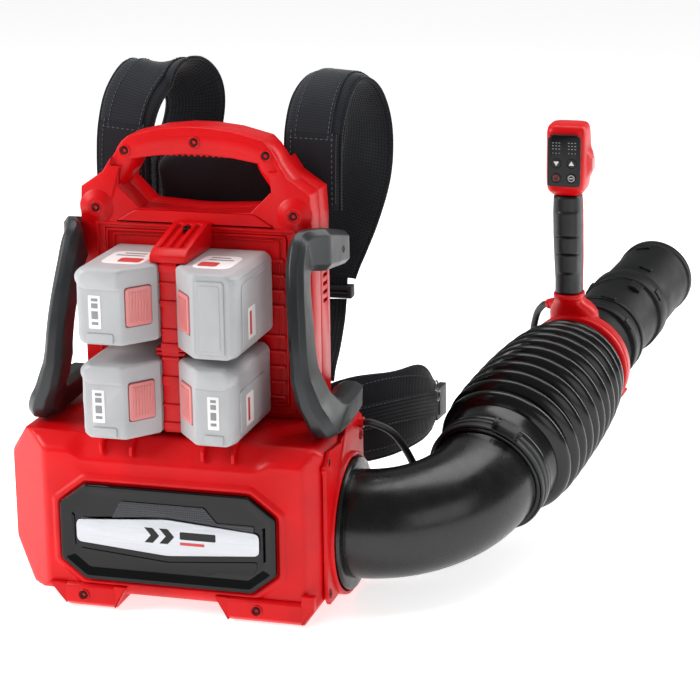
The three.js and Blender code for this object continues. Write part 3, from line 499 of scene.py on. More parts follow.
def run_point(l):
    """The centre line past the elbow: the directions added up in 2 mm steps."""
    l = np.asarray(l, float)
    inside = np.stack([np.interp(l, WALK, WALKED[:, i]) for i in range(3)], -1)
    return inside + np.minimum(l, 0)[..., None] * HOSE_DIR


def around(centres, dirs, radii, count=96, turn=0.0, wave=None):
    """Circles square to a line: each has a centre, a direction and a radius. wave(angle) may scale them."""
    side = unit(np.cross(dirs, Z_AXIS))
    up = np.cross(side, dirs)
    a = np.linspace(0, 2 * np.pi, count, endpoint=False) + turn
    r = np.asarray(radii, float)[:, None, None]
    if wave is not None:
        r = r * wave(a)[None, :, None]
    ring = np.cos(a)[None, :, None] * side[:, None] + np.sin(a)[None, :, None] * up[:, None]
    return centres[:, None] + r * ring


def turned(pairs, count=96, wave=None, **more):
    """A surface turned about the hose line from (distance, radius) pairs; it closes on itself."""
    l, r = np.asarray(pairs, float).T
    return shell(around(run_point(l), run_dir(l), r, count, wave=wave), ring=True, **more)


def step(l0, l1, outer, bore, edge=0.8):
    """The pairs of a sleeve with rounded outer edges."""
    a = np.linspace(0, np.pi / 2, 4)
    along, across = edge * (1 - np.cos(a)), outer - edge * (1 - np.sin(a))
    return [(l0, bore), *zip(l0 + along, across), *zip(l1 - along[::-1], across[::-1]), (l1, bore)]


print("hose ends at", run_point(581.0))

# %% [markdown]
# ## The control cable
# One cable runs from the case to the handle in two lengths, held between them by the clip on the hose
# clamp. Each leaves its gland straight, then hangs in an easy curve. They repeat the drawing's route.

# %% Cables
CABLE_RADIUS = 4.0
under = unit(np.array([-0.66, 0.28, -0.7]))
under_out = unit(under - HOSE_DIR * np.dot(under, HOSE_DIR))
gland_end = np.array([297.0, 372.0, 225.0])
gland_dir = unit(np.array([0.77, -0.55, 0.33]))
clip_from = run_point(8.0) + 76 * under_out
clip_to = run_point(16.0) + 76 * under_out
LOWER_ROUTE = [(162.1, 58, 167.5), (172, 58, 167.5), (192, 70, 152), (208, 90, 112), (216, 96, 72),
               clip_from - 14 * HOSE_DIR, clip_from - 0.3 * HOSE_DIR]
UPPER_ROUTE = [clip_to + 0.3 * HOSE_DIR, clip_to + 14 * HOSE_DIR, run_point(70) + 88 * under,
               run_point(150) + 90 * under,
               run_point(230) + 86 * under, run_point(300) + 70 * under, (276, 396, 172), (280, 388, 206),
               gland_end - 9 * gland_dir, gland_end - 0.3 * gland_dir]
for name, route, count, ends, joint_span in (
        ("cable_lower", LOWER_ROUTE, 60, ("frame", "elbow"), (LOWER_ROUTE[0], LOWER_ROUTE[-1])),
        ("cable_upper", UPPER_ROUTE, 120, ("elbow", "wand"), (run_point(TURN_FROM), run_point(TURN_TO)))):
    line = smooth(route, count)
    cable = piece(name + "_jacket", rod(line, CABLE_RADIUS, 16), cable_pvc, None, name)
    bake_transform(cable)

# %% [markdown]
# ### Elbow
# The elbow is a satin black moulding. A flange seats it on the case, a raised ring hides the swivel, and
# its far end slips into the bellows' cuff. The tube keeps a wall, so a look into the hose finds a bore.

# %% Elbow
turns = np.linspace(0, ELBOW_TURN, 40)
flange_l = np.array([0, 0.6, 2.4, 5.6, 7.4, 8.0, 8.2, 8.3])
flange_r = np.array([67.6, 68.6, 69.0, 69.0, 68.4, 67.0, 62.0, 57.2])
entry = around(np.array([ELBOW_X, 0, FAN_Z]) + flange_l[:, None] * X_AXIS,
               np.tile(X_AXIS, (len(flange_l), 1)), flange_r)
outer_bend = around(bend_point(turns), bend_dir(turns), np.linspace(56.5, 58.0, 40))
inner_bend = around(bend_point(turns[::-1]), bend_dir(turns[::-1]), np.linspace(54.5, 53.0, 40))
cuff_l = np.array([0.5, 1.4, 2.2, 8, 33, 34, 34, 33])
cuff_r = np.array([58.1, 58.4, 58.5, 58.5, 58.5, 58.0, 56.0, 55.0])
cuff = around(run_point(cuff_l), run_dir(cuff_l), cuff_r)
mouth = around(np.array([[ELBOW_X, 0, FAN_Z]]), X_AXIS[None], [53.0])
piece("elbow_moulding", shell(np.concatenate([entry, outer_bend, cuff, inner_bend, mouth]), ring=True),
      elbow_pp, "elbow", "elbow")

# %% [markdown]
# ### Bellows
# The bellows is blown rubber: eleven round-topped ribs with narrower valleys, a smooth cuff at the elbow
# and a plain tip under the red collar.

# %% Bellows
RIBS, RIB_FROM, RIB_TO = 11, 48.0, 258.0
RIB_TOP = np.array([75, 77.5, 78, 78, 77.5, 77, 76, 74.5, 72.5, 69.5, 65.0])
pitch = (RIB_TO - RIB_FROM) / RIBS
rib_l = np.linspace(RIB_FROM, RIB_TO, RIBS * 16 + 1)
phase = (rib_l - RIB_FROM) / pitch
top = np.interp(phase, np.arange(RIBS) + 0.5, RIB_TOP)
crest = np.abs(np.sin(np.pi * phase)) ** 0.75
rib_r = np.maximum(top - 10.5 + 10.3 * crest, 54.0)
outer_line = [(3, 61.6), (3.6, 62.6), (5, 63), (19.5, 63), (21, 65.2), (24, 65.8), (27, 65.2), (29, 63.2),
              (41, 63.4),
              (45, 64.6), *zip(rib_l, rib_r), (260, 54.2), (264.8, 54), (265.8, 53.2)]
inner_line = [(266, 48), (246, 47.5), (225, 57), (150, 63), (60, 62), (46, 59), (3, 59)]
bellows = piece("bellows_hose", turned(outer_line + inner_line, 120), duct_epdm, None, "bellows")
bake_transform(bellows)
print("bellows ribs", RIBS, "pitch", round(pitch, 1), "mm")

# %% [markdown]
# ### Hose clamp
# Two narrow steel bands, painted black, squeeze the cuff onto the elbow. A screw housing closes them on top,
# and a clip underneath holds the control cable.

# %% Hose clamp
def block(centre, axes, half, edge=1.0, slot=0):
    """A box with rounded edges: a superellipse outline on the first two axes, raised along the third."""
    axes = unit(np.asarray(axes, float))
    ring = rounded(rect(-half[0], half[0], -half[1], half[1]), edge * 2)
    return plate(ring, eased(-half[2], half[2], edge), (np.asarray(centre, float), axes[0], axes[1]),
                 slot=slot)


across = unit(np.cross(HOSE_DIR, Z_AXIS))
above = np.cross(across, HOSE_DIR)
lug_out = unit(0.45 * across + 0.9 * above)
lug_side = np.cross(HOSE_DIR, lug_out)
clamp = [
    turned(step(5.0, 10.4, 65.6, 63.4)), turned(step(13.6, 19.0, 65.6, 63.4)),
    turned(step(9.5, 14.5, 64.6, 63.4)),
    block(run_point(12.0) + lug_out * 68.5, [lug_side, HOSE_DIR, lug_out], (11.5, 6.6, 4.6), 1.4),
    block(run_point(12.0) + under_out * 72, [np.cross(HOSE_DIR, under_out), under_out, HOSE_DIR],
          (6.5, 10.8, 3.6)),
    rod(run_point(12.0) + lug_out * 68.5 + np.linspace(-15, 15, 5)[:, None] * lug_side, 3.0),
    block(run_point(12.0) + lug_out * 68.5 - lug_side * 15.5, [HOSE_DIR, lug_out, lug_side], (4.2, 4.2, 1.6),
          0.6),
]
piece("hose_clamp_bands", clamp, dark_nylon, "elbow", "hose_clamp")

# %% [markdown]
# ### Tubes and nozzle
# Three straight tubes push together and lock with a short twist. Each joint shows a raised collar, and the
# second collar carries a hooked tab. The tubes are dull black polypropylene.

# %% Tubes
def tab(l, angle, out, half):
    """A small raised block on the tube at an angle about the hose line."""
    d = run_dir(float(l))
    side = unit(np.cross(d, Z_AXIS))
    up = np.cross(side, d)
    outward = math.cos(angle) * side + math.sin(angle) * up
    return block(run_point(float(l)) + outward * out, [np.cross(d, outward), d, outward], half, 0.9)


tube_1_line = [(248, 43.6), (248, 46.6), (249, 47), (333, 47), (334.5, 47.6), (335.4, 50.4), (336.4, 51),
               (349, 51), (350, 50.4),
               (350.4, 49.8), (361, 49.6), (362, 49), (362, 48.0), (346, 47.9), (344, 43.6)]
ears = [tab(343, a, 50.4, (7, 5.5, 1.6)) for a in np.radians([35, 155, 275])]
piece("first_tube", [turned(tube_1_line), *ears], tube_pp, "wand", "tube_1")
tube_2_line = [(348, 43.6), (348, 47), (363, 47), (363.2, 49.8), (364.2, 50.5), (372, 50.5), (373, 50),
               (375, 47.2), (436, 46.6),
               (439, 47.2), (440.4, 49.4), (441.4, 50), (466.8, 50), (467.8, 49.4), (468, 48.4), (468, 46.9),
               (450, 46.9), (446, 43.1)]
hooks = [tab(430, math.radians(62), 47.6, (8, 9, 1.7)), tab(421, math.radians(62), 49.0, (5, 2.4, 2.6)),
         tab(454, math.radians(150), 50.0, (7, 5.5, 1.4)), tab(454, math.radians(30), 50.0, (7, 5.5, 1.4)),
         tab(367.6, math.radians(80), 50.8, (9, 3.4, 1.4))]
piece("second_tube", [turned(tube_2_line), *hooks], tube_pp, "tube_2", "tube_2")
nozzle_line = [(452, 43), (452, 45.8), (469, 45.8), (471, 46.4), (500, 46.2), (566, 45.5), (569, 46),
               (570.4, 47.2), (572, 47.4), (579.6, 47.4),
               (580.8, 46.8), (581, 45.6), (581, 43), (578, 42.6)]
piece("end_nozzle", [turned(nozzle_line), tab(490, math.radians(70), 47.2, (8, 4, 1.3)),
                     tab(556, math.radians(100), 46.6, (9, 3, 1.2))], tube_pp, "nozzle", "nozzle")

# %% [markdown]
# ## The lower case
# The front shell is a wide box whose corners are cut by sloping planes. Along a ray from the middle of the
# badge, the nearest plane sets the distance, and a soft minimum of all planes rounds the corners where two
# meet. Rings of rays at growing depth make the shell; more rings run in over the face to the recess.

# %% Front shell
MIDDLE = np.array([0.0, 84.0])
RAYS = np.linspace(0, 2 * np.pi, 360, endpoint=False)
RAY_DIRS = np.stack([np.cos(RAYS), np.sin(RAYS)], 1)


def reach(planes, power=150.0):
    """Distance along each ray to the nearest plane, each plane being (x, z, offset) of its normal. The sum
    of high powers of 1 / distance is ruled by the nearest plane, and blends two that are equally near."""
    p = np.asarray(planes, float)
    n = p[:, :2] / np.linalg.norm(p[:, :2], axis=1, keepdims=True)
    gap = p[:, 2] / np.linalg.norm(p[:, :2], axis=1) - n @ MIDDLE
    closeness = np.maximum(RAY_DIRS @ n.T, 0) / gap
    nearest = closeness.max(1)
    return 1 / (nearest * np.sum((closeness / nearest[:, None]) ** power, 1) ** (1 / power))


def edge_planes(points):
    """The planes of a convex outline, from its corners in order."""
    p = np.asarray(points, float)
    d = np.roll(p, -1, 0) - p
    n = unit(np.stack([d[:, 1], -d[:, 0]], 1))
    n *= np.sign(np.sum(n * (p - MIDDLE), 1, keepdims=True))
    return np.column_stack([n, np.sum(n * p, 1)])


def case_planes(y, shrink):
    """The case's cross-section at depth y, every plane moved inwards by shrink."""
    left = np.interp(y, [-103, -61], [132, 184])
    right_side = np.interp(y, [-103, -80], [142.5, 157])
    top_side = np.interp(y, [-103, -86], [168, 183])
    base = np.interp(y, [-103, -95], [-23, -14])
    planes = np.array([
        [1, 0, right_side], [-1, 0, left], [0, 1, top_side], [0, -1, base],
        [-38, -26, 38 * 184 - 26 * 52], [-31, 24, 31 * 184 + 24 * 152], [9, 9, 9 * 157 + 9 * 174],
        [8, -7, 8 * 157 - 7 * 22],
    ], float)
    planes[:, 2] -= shrink * np.linalg.norm(planes[:, :2], axis=1)
    return planes


def face_ring(radii, y):
    """Ray distances as points at one depth, or a depth for each point."""
    flat = MIDDLE + RAY_DIRS * radii[:, None]
    return np.stack([flat[:, 0], np.broadcast_to(y, radii.shape), flat[:, 1]], 1)


SPLIT, FACE, WALL = -20.15, -103.0, 4.0
SHELF_DROP = 7.0  # mm that the ledge under the packs lies below the shoulders beside it
octagon = edge_planes(mirror([[-87, 135], [-115, 113.6], [-115, 53], [-89, 32.5]]))
depths = np.concatenate([np.linspace(SPLIT, -99, 30), FACE + 4 * (1 - np.sin(np.linspace(0.15, np.pi / 2,
        6)))])
easing = np.concatenate([np.zeros(30), 4 * (1 - np.cos(np.linspace(0.15, np.pi / 2, 6)))])
rings = [face_ring(reach(case_planes(y, WALL)), y) for y in np.linspace(-97, SPLIT, 8)]
rings = [face_ring(reach(case_planes(-97, WALL)) * 0.3, -97)] + rings
rings += [face_ring(reach(case_planes(y, e)), y) for y, e in zip(depths, easing)]
rim = reach(case_planes(FACE, 4.0))
for grow, y in [(10.5, -103), (9.0, -103.6), (7.0, -105.4), (6.0, -105.8), (3.4, -105.8), (2.6, -105.4),
                (0.9, -103.6), (0.5, -102.9), (-8, -102.9)]:
    planes = octagon.copy()
    planes[:, 2] += grow
    rings.append(face_ring(np.minimum(reach(planes), rim - 0.4 - max(0, 10.5 - grow) * 0.12), y))
rings.append(face_ring(reach(octagon) * 0.3, -102.9))


def cut_away(obj, cutter, overlapping=False):
    """Subtracts one mesh from another and applies the cut. Shells that overlap need the slower self test."""
    cut = obj.modifiers.new("cut", "BOOLEAN")
    cut.operation, cut.solver, cut.object, cut.use_self = "DIFFERENCE", "EXACT", cutter, overlapping
    applied(obj)
    bpy.data.objects.remove(cutter)


def applied(obj, sharp=38):
    """Bakes the object's modifiers into its mesh."""
    view = bpy.context.evaluated_depsgraph_get()
    view.update()
    mesh = bpy.data.meshes.new_from_object(obj.evaluated_get(view))
    obj.modifiers.clear()
    obj.data = mesh
    mesh.set_sharp_from_angle(angle=math.radians(sharp))
    return obj


def drum(x0, x1, r, y=0.0, z=FAN_Z, count=96):
    """A plain cylinder about an axis along X, used as a cutter."""
    xs = np.array([x0, x1])
    return shell(around(np.stack([xs, 0 * xs + y, 0 * xs + z], 1), np.tile(X_AXIS, (2, 1)), [r, r], count))


rings = np.stack(rings)
between = 1 / (1 + np.exp(-(rings[..., 0] + 99) / 2.6)) / (1 + np.exp((rings[..., 0] - 100) / 2.6))
rings[..., 2] -= SHELF_DROP * between * np.clip((-84 - rings[..., 1]) / 17, 0, 1) * (rings[..., 2] > 150)
front_shell = piece("case_front", shell(rings), red_abs, None, (), 48)
cut_away(front_shell, piece("cutter", [drum(120, 180, 58.6)], red_abs, None))
cut_away(front_shell, piece("cutter", [drum(-200, -160, 42, 5.0)], red_abs, None))
dress(front_shell, "frame", "lower_front_shell")
print("front shell faces", len(front_shell.data.polygons))

# %% [markdown]
# ### Outlet rim
# A red cup stands out from the case round the elbow's flange. It is one turned profile about the outlet's
# axis, with clearance inside so that the elbow can swivel. Two small webs tie its top to the case.

# %% Outlet rim
cup = np.array([(150, 70.4), (150, 74.6), (162.6, 74.6), (164.2, 74.2), (165, 73.2), (165.2, 71.8),
                (164.8, 70.8), (163.8, 70.4)])
cup_line = np.stack([cup[:, 0], 0 * cup[:, 0], np.full(len(cup), FAN_Z)], 1)
cup_rim = shell(around(cup_line, np.tile(X_AXIS, (len(cup), 1)), cup[:, 1], 140), ring=True)
YZ_PLANE = (np.zeros(3), np.array([0, 1.0, 0]), Z_AXIS)
cup_webs = [tablet([(-52, 128), (-20, 176), (-12, 180), (-8, 176), (-30, 144)], 156, 162.4, 2, 1, YZ_PLANE),
            tablet([(-66, 118), (-80, 150), (-86, 160), (-80, 166), (-66, 158), (-46, 134)], 156, 161.4, 4, 1,
                   YZ_PLANE)]
piece("outlet_rim", [cup_rim, *cup_webs], red_abs, "frame", (), 30)

# %% [markdown]
# ### Ribs on the case
# Gussets stiffen the ledge under the packs, and a seam line runs over the top where the shells meet.

# %% Case ribs
def rib(path, width, height, body_plane_wide, power=3.0, slot=0):
    """A rounded bar along a path."""
    return shell(carry(smooth(path, 24), body_plane_wide, oval(width / 2, height / 2, 20, power)), slot=slot)


gussets = [tablet([(-102.2, 165.5), (-84, 181.5), (-84, 186.4), (-88, 186.4), (-102.2, 176)], x - 1.6,
                  x + 1.6, 1.5,
                  0.6, (np.zeros(3), np.array([0, 1.0, 0]), Z_AXIS)) for x in (-70, -38, 38, 70)]
webs = [tablet(shape, 99, 107.6, 2, 0.8) for shape in (
    [(-60, 1), (-46, 26), (-60, 26)], [(-112, 3), (-112, 26), (-131, 26)], [(63, 1), (63, 26), (48, 26)],
    [(140, 1.5), (140, 34), (154, 34), (153, 18)])]
seams = [rib([(-156, y, 182.6), (-80, y, 182.9), (60, y, 182.9), (146, y, 182.6)], 1.6, 1.4,
             (0, 1, 0)) for y in (-23.5, -16.5)]
lip = [rib([(-84, -104.2, 29.4), (0, -104.2, 29.4), (86, -104.2, 29.4)], 2.0, 2.4, (0, 0, 1))]
piece("case_ribs", gussets + webs + seams + lip, red_abs, "frame", ())

# %% [markdown]
# ### Case parts kept from the drawing
# Flat-faced mouldings are already right in the drawing. A copy gets its loose triangles merged into whole
# faces, then a Bevel modifier eases every edge, as a mould must, so real light runs along them.

# %% Eased copies
def eased_copy(node_name, name, width, material, body="frame", angle=30, segments=3):
    """Copies a CAD node, dissolves its flat triangles and bevels edges sharper than angle."""
    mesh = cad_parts[node_name].data.copy()
    bm = bmesh.new()
    bm.from_mesh(mesh)
    bmesh.ops.remove_doubles(bm, verts=bm.verts, dist=2e-5)
    bmesh.ops.dissolve_limit(bm, angle_limit=math.radians(1.5), verts=bm.verts, edges=bm.edges)
    bm.to_mesh(mesh)
    bm.free()
    mesh.materials.clear()
    mesh.materials.append(material)
    obj = bpy.data.objects.new(name, mesh)
    bpy.context.scene.collection.objects.link(obj)
    bevel = obj.modifiers.new("ease", "BEVEL")
    bevel.width, bevel.segments, bevel.limit_method = width * MM, segments, "ANGLE"
    bevel.angle_limit, bevel.harden_normals = math.radians(angle), False
    mesh.shade_smooth()
    applied(obj, 34)
    return dress(obj, body, node_name)


eased_copy("lower_rear_shell", "case_rear", 2.2, red_abs)
eased_copy("outlet_flange", "outlet_plate", 1.0, red_abs)
eased_copy("foot_left", "left_foot", 1.6, red_abs)
eased_copy("foot_right", "right_foot", 1.6, red_abs)
eased_copy("upper_frame", "frame_front", 3.2, red_abs)
eased_copy("upper_rear_shell", "frame_rear", 3.2, red_abs)
eased_copy("battery_deck", "dock_panel", 0.7, red_abs)
eased_copy("battery_spine", "dock_spine", 1.0, red_abs)
eased_copy("back_plate", "back_board", 1.6, dark_nylon)
eased_copy("intake_grille", "air_intake", 0.5, dark_nylon)
print("eased copies made")

# %% [markdown]
# ### Badge
# A polished black trim fills the recess. Its inner slope catches a bright line of sky along the bottom, a
# panel moulded with small hexagons sits above, and a brushed plate carries a plain painted mark.

# %% Badge trim
def octagon_ring(grow, y):
    planes = octagon.copy()
    planes[:, 2] += grow
    return face_ring(reach(planes, 220.0), y)


trim_levels = [(-30, -103.4), (-1.0, -103.4), (-0.4, -104), (-0.4, -108.2), (-1.0, -109.2), (-2.0, -109.5),
               (-4.6, -109.5), (-5.4, -109.2), (-12.5, -106.4), (-13.2, -106.2), (-24, -106.2), (-30, -106.2)]
trim = shell(np.stack([octagon_ring(g, y) for g, y in trim_levels]))
upper_panel = tablet([(-92, 99), (-60, 99), (-49, 119), (40, 119), (53, 104), (92, 104), (92, 97), (0, 106),
                      (-92, 96)],
                     106, 107.6, 1.5, 0.6)
lower_panel = tablet([(-94, 66), (-96, 60), (-78, 46.5), (40, 46.5), (54, 52), (90, 52), (95, 60), (94, 66),
                      (0, 58)],
                     106, 107.2, 1.5, 0.5)
frame_bars = [tablet([(-102, 68), (-99.5, 68), (-99.5, 100), (-102, 103)], 106, 108.4, 1, 0.5),
              tablet([(99.5, 68), (102, 66), (102, 103), (99.5, 100)], 106, 108.4, 1, 0.5)]
piece("badge_trim", [trim, lower_panel, *frame_bars], black_abs, "frame", "badge_panel", 30)
hex_grip, tree, shader, where = finish_named("hexagon_grained_abs", "#1a1b1e", 0.4)
cells = node(tree, "TexVoronoi", {"Vector": where.outputs["Object"], "Scale": 420.0, "Randomness": 0.0})
domes = node(tree, "Bump", {"Height": cells.outputs[0], "Strength": 1.0, "Distance": 0.0006}, invert=True)
# Painted highlight and shade: the dome tops are painted lighter grey and the ground between them near black,
# following the moulded relief.
dome_light_and_shade = node(tree, "Mix", {0: cells.outputs[0], 6: linear("#3a3c41"), 7: linear("#101113")}, data_type="RGBA")
tree.links.new(dome_light_and_shade.outputs[2], shader.inputs["Base Color"])
tree.links.new(domes.outputs[0], shader.inputs["Normal"])
piece("badge_grip", upper_panel, hex_grip, "frame", ())
lens_shape = rounded([(-97.5, 73), (0, 65), (97.5, 73), (97.5, 96.5), (0, 104), (-97.5, 96.5)], 6)
chevrons = [tablet([(x, 78), (x + 9, 78), (x + 16, 86), (x + 9, 94), (x, 94), (x + 7, 86)], 108.35, 108.6,
                   0.8, 0.1, slot=1)
            for x in (-24, -8)]
bars = [tablet(rect(14, 52, 84, 92), 108.35, 108.6, 1.5, 0.1, slot=1),
        tablet(rect(14, 40, 78, 81), 108.35, 108.6, 1, 0.1, slot=2)]
piece("badge_face", [plate(lens_shape, eased(106.4, 108.45, 0.5)), *chevrons, *bars],
      [plate_aluminium, black_abs, label_red], "frame", "badge_plate")

# %% [markdown]
# ### Screws
# Every shell is held by dark star-drive screws sunk in round pockets. Each is a head with a rounded rim and
# a six-lobed socket, repeated at each boss.

# %% Screws
def screw(centre, normal, r=4.2, proud=0.5):
    """A head turned about its normal; the socket's radius follows a six-lobed wave."""
    n = unit(np.asarray(normal, float))
    c = np.asarray(centre, float)
    levels = np.array([[-2.5, r], [proud - 0.6, r], [proud - 0.15, r * 0.94], [proud, r * 0.86],
                       [proud, r * 0.5],
                       [proud - 1.4, r * 0.44], [proud - 1.5, r * 0.1]])
    lobes = np.where(np.arange(len(levels)) >= 4, 0.14, 0.0)
    helper = Z_AXIS if abs(n[2]) < 0.9 else X_AXIS
    side = unit(np.cross(n, helper))
    up = np.cross(n, side)
    a = np.linspace(0, 2 * np.pi, 36, endpoint=False)
    radius = levels[:, 1:] * (1 + lobes[:, None] * np.cos(6 * a)[None])
    ring = radius[..., None] * (np.cos(a)[None, :, None] * side + np.sin(a)[None, :, None] * up)
    return shell(c + levels[:, 0][:, None, None] * n + ring)


def collar_ring(centre, normal, r, tube=0.9):
    """The raised edge of a screw pocket: a small ring about the normal."""
    n = unit(np.asarray(normal, float))
    side = unit(np.cross(n, Z_AXIS if abs(n[2]) < 0.9 else X_AXIS))
    a = np.linspace(0, 2 * np.pi, 40, endpoint=False)[:, None]
    path = np.asarray(centre, float) + r * (np.cos(a) * side + np.sin(a) * np.cross(n, side))
    out = unit(path - centre)
    t = np.linspace(0, 2 * np.pi, 8, endpoint=False)[None, :, None]
    return shell(path[:, None] + tube * (np.cos(t) * out[:, None] + np.sin(t) * n), ring=True)


front_screws = [(-106, 0.3, 397), (106, 0.3, 397), (-75.5, 8.4, 456), (75.5, 8.4, 456), (0, 8.4, 467),
                (-93, -108.6, 14.5), (93, -108.6, 14.5)]
side_screws = [(161.6, -74, 166), (161.6, -76, 27), (161.6, 44, 27), (161.6, 46, 158)]
heads = [screw(p, (0, -1, 0)) for p in front_screws] + [screw(p, (1, 0, 0), 3.6) for p in side_screws]
heads += [screw((0, -21, 385.6), (0, -0.18, 0.98), 4.0)]
heads += [screw((x, 66.4, z), (0, 1, 0), 3.8) for x in (-112, 112) for z in (196, 300, 400)]
piece("case_screws", heads, black_steel, "frame", ())
bosses = [collar_ring(p, (0, -1, 0), 5.6) for p in front_screws] + [collar_ring(p, (1, 0, 0), 4.8,
        0.7) for p in side_screws]
piece("screw_bosses", bosses, red_abs, "frame", ())

# %% [markdown]
# ### Frame details
# A raised pad surrounds each top screw, a ledge runs under the hand gap, two stepped borders frame the dock,
# and the carry handle is a rounded bar with finger ribs beneath.

# %% Frame details
turn = np.linspace(0, 2 * np.pi, 48, endpoint=False)
EAR_LEVELS = [(-1.5, -4.6), (-0.6, -3.9), (1.5, -3.0), (5.0, -1.4), (7.4, -0.4), (9.0, 0.1), (10.4, 0.2),
              (11.4, -0.4)]
pads = [shell(np.stack([lift(np.stack([x + (17.5 - r) * np.cos(turn), 397 + (17.5 - r) * np.sin(turn)], 1), h)
                        for r, h in EAR_LEVELS])) for x in (-106.0, 106.0)]
ledge = tablet(mirror([(-86, 383), (-64, 396.5)]), -4.2, -2.2, 4, 1.4)


def border(half, z0, z1, width, low, high):
    """A rectangular border: a rounded bar's section carried round a closed rectangle."""
    outer = rounded(rect(-half, half, z0, z1), 4)
    inner = inset(outer, width)
    return shell(np.stack([lift(outer, low), lift(outer, high - 0.5), lift(inset(outer, 0.5), high),
                           lift(inset(outer, width - 0.5), high), lift(inner, high - 0.5), lift(inner, low)]),
                           ring=True)


borders = [border(108, 188.5, 382, 3.0, -4.2, -2.4), border(97.4, 196.6, 375.4, 2.4, -6.4, -3.2),
           border(90, 201, 371, 2.0, -6.4, -4.4)]
arch = smooth([(-104, 29.5, 408), (-91, 29.5, 426), (-79, 29.5, 443), (-70, 29.5, 457), (-40, 29.5, 465.4),
               (0, 29.5, 467.8), (40, 29.5, 465.4), (70, 29.5, 457), (79, 29.5, 443),
               (91, 29.5, 426), (104, 29.5, 408)], 80)
handle = shell(carry(arch, (0, 1, 0), oval(21.0, 13.4, 40, 3.2)))
finger_ribs = [shell(carry(np.stack([[x, y, 452.6 + 1.2 * (1 - (x / 60) ** 2)] for y in np.linspace(10, 49,
        6)]), (1, 0, 0), oval(1.4, 1.6, 10)))
               for x in np.arange(-52, 53, 6.5)]
steps = [tablet(rect(-9.6, 9.6, z, z + h), 78.8, 80.2, 0.8, 0.5) for z,
         h in ((190, 8), (214, 3), (236, 10), (262, 4), (270, 10), (292, 3), (318, 6), (340, 3), (352, 8))]
wings = [tablet(rect(-15.5, 15.5, z, z + 3.4), 30, 79.6, 1.0, 0.5) for z in (267.2, 271.8)]
piece("frame_details", pads + [ledge, *borders, handle, *finger_ribs, *steps], red_abs, "frame", ())
piece("dock_wings", wings, red_abs, "frame", ())

# %% [markdown]
# ## Battery packs
# Each pack slides on a rail of the spine. It is a grey moulded case: a rounded rectangle seen from the
# front, carried from back to front, with the corner next to the spine cut back for the release button. The
# long packs have a stepped upper band, small grip ribs down their sides, and printed labels.

# %% Pack shapes
PACK_FRONT, BEVEL_Y, BEVEL_X, INNER = -118.0, -84.0, 38.0, 10.0
PACKS = {
    "left_top": (-1, 284, 361, 88), "left_low": (-1, 187, 264, 86),
    "right_top": (1, 276, 361, 84), "right_low": (1, 187, 266, 80),
}


def pack_body(side, z0, z1, outer, y0, y1, shrink=0.0, grip=0.6):
    """Rings of a rounded rectangle in x and z at depths from y0 to y1. The inner edge follows the bevel, the
    outer corners are cut, and a sine down the outer side makes the grip ribs."""
    ease = 2.2
    bend = [BEVEL_Y + 1, BEVEL_Y, BEVEL_Y - 1]
    y = np.concatenate([[y0, y0 - 0.2, y0 - 0.8], np.linspace(y0 - 1.8, y1 + 1.8, 14), bend,
                        [y1 + 0.8, y1 + 0.2, y1]])
    y = np.sort(y)[::-1]
    e = np.interp(-y, [-y0, -y0 + 0.8, -y0 + 1.8, -y1 - 1.8, -y1 - 0.8, -y1],
                  [ease, 0.7, 0, 0, 0.7, ease]) + shrink
    rows = []
    for depth, off in zip(y, e):
        inner = np.interp(-depth, [-BEVEL_Y, -PACK_FRONT], [INNER, BEVEL_X]) + off
        far = outer - np.interp(-depth, [109, 118], [0, 7.0]) - off
        low, high = z0 + off, z1 - off
        ring = rounded([(inner, low), (far - 6, low), (far, low + 6), (far, high - 6), (far - 6, high),
                        (inner, high)], 5, 8)
        ring = np.concatenate([np.linspace(ring[k], ring[(k + 1) % len(ring)],
                                           9)[:-1] if k % 9 == 8 else ring[k:k + 1]
                               for k in range(len(ring))])
        wave = np.clip(np.sin((ring[:, 1] - z0) * 2 * np.pi / 9.0), 0, 1) * (ring[:, 0] > far - 1)
        ring[:, 0] += -grip * (1 - wave) * (ring[:, 0] > far - 1) * (depth < -6)
        rows.append(np.stack([side * ring[:, 0], np.full(len(ring), depth), ring[:, 1]], 1))
    return shell(np.stack(rows))


def bevel_plane(side, z):
    """The bevelled face beside the spine: its middle, its direction away from the spine, and up."""
    centre = np.array([side * (INNER + BEVEL_X) / 2, (PACK_FRONT + BEVEL_Y) / 2, z])
    along = unit(np.array([side * (BEVEL_X - INNER), PACK_FRONT - BEVEL_Y, 0]))
    return (centre, along, Z_AXIS) if side > 0 else (centre, -along, Z_AXIS)


def side_plane(side, outer):
    """The pack's outer side: u runs to the back on the right and to the front on the left."""
    return (np.array([side * outer, 0, 0]), np.array([0, float(side), 0]), Z_AXIS)


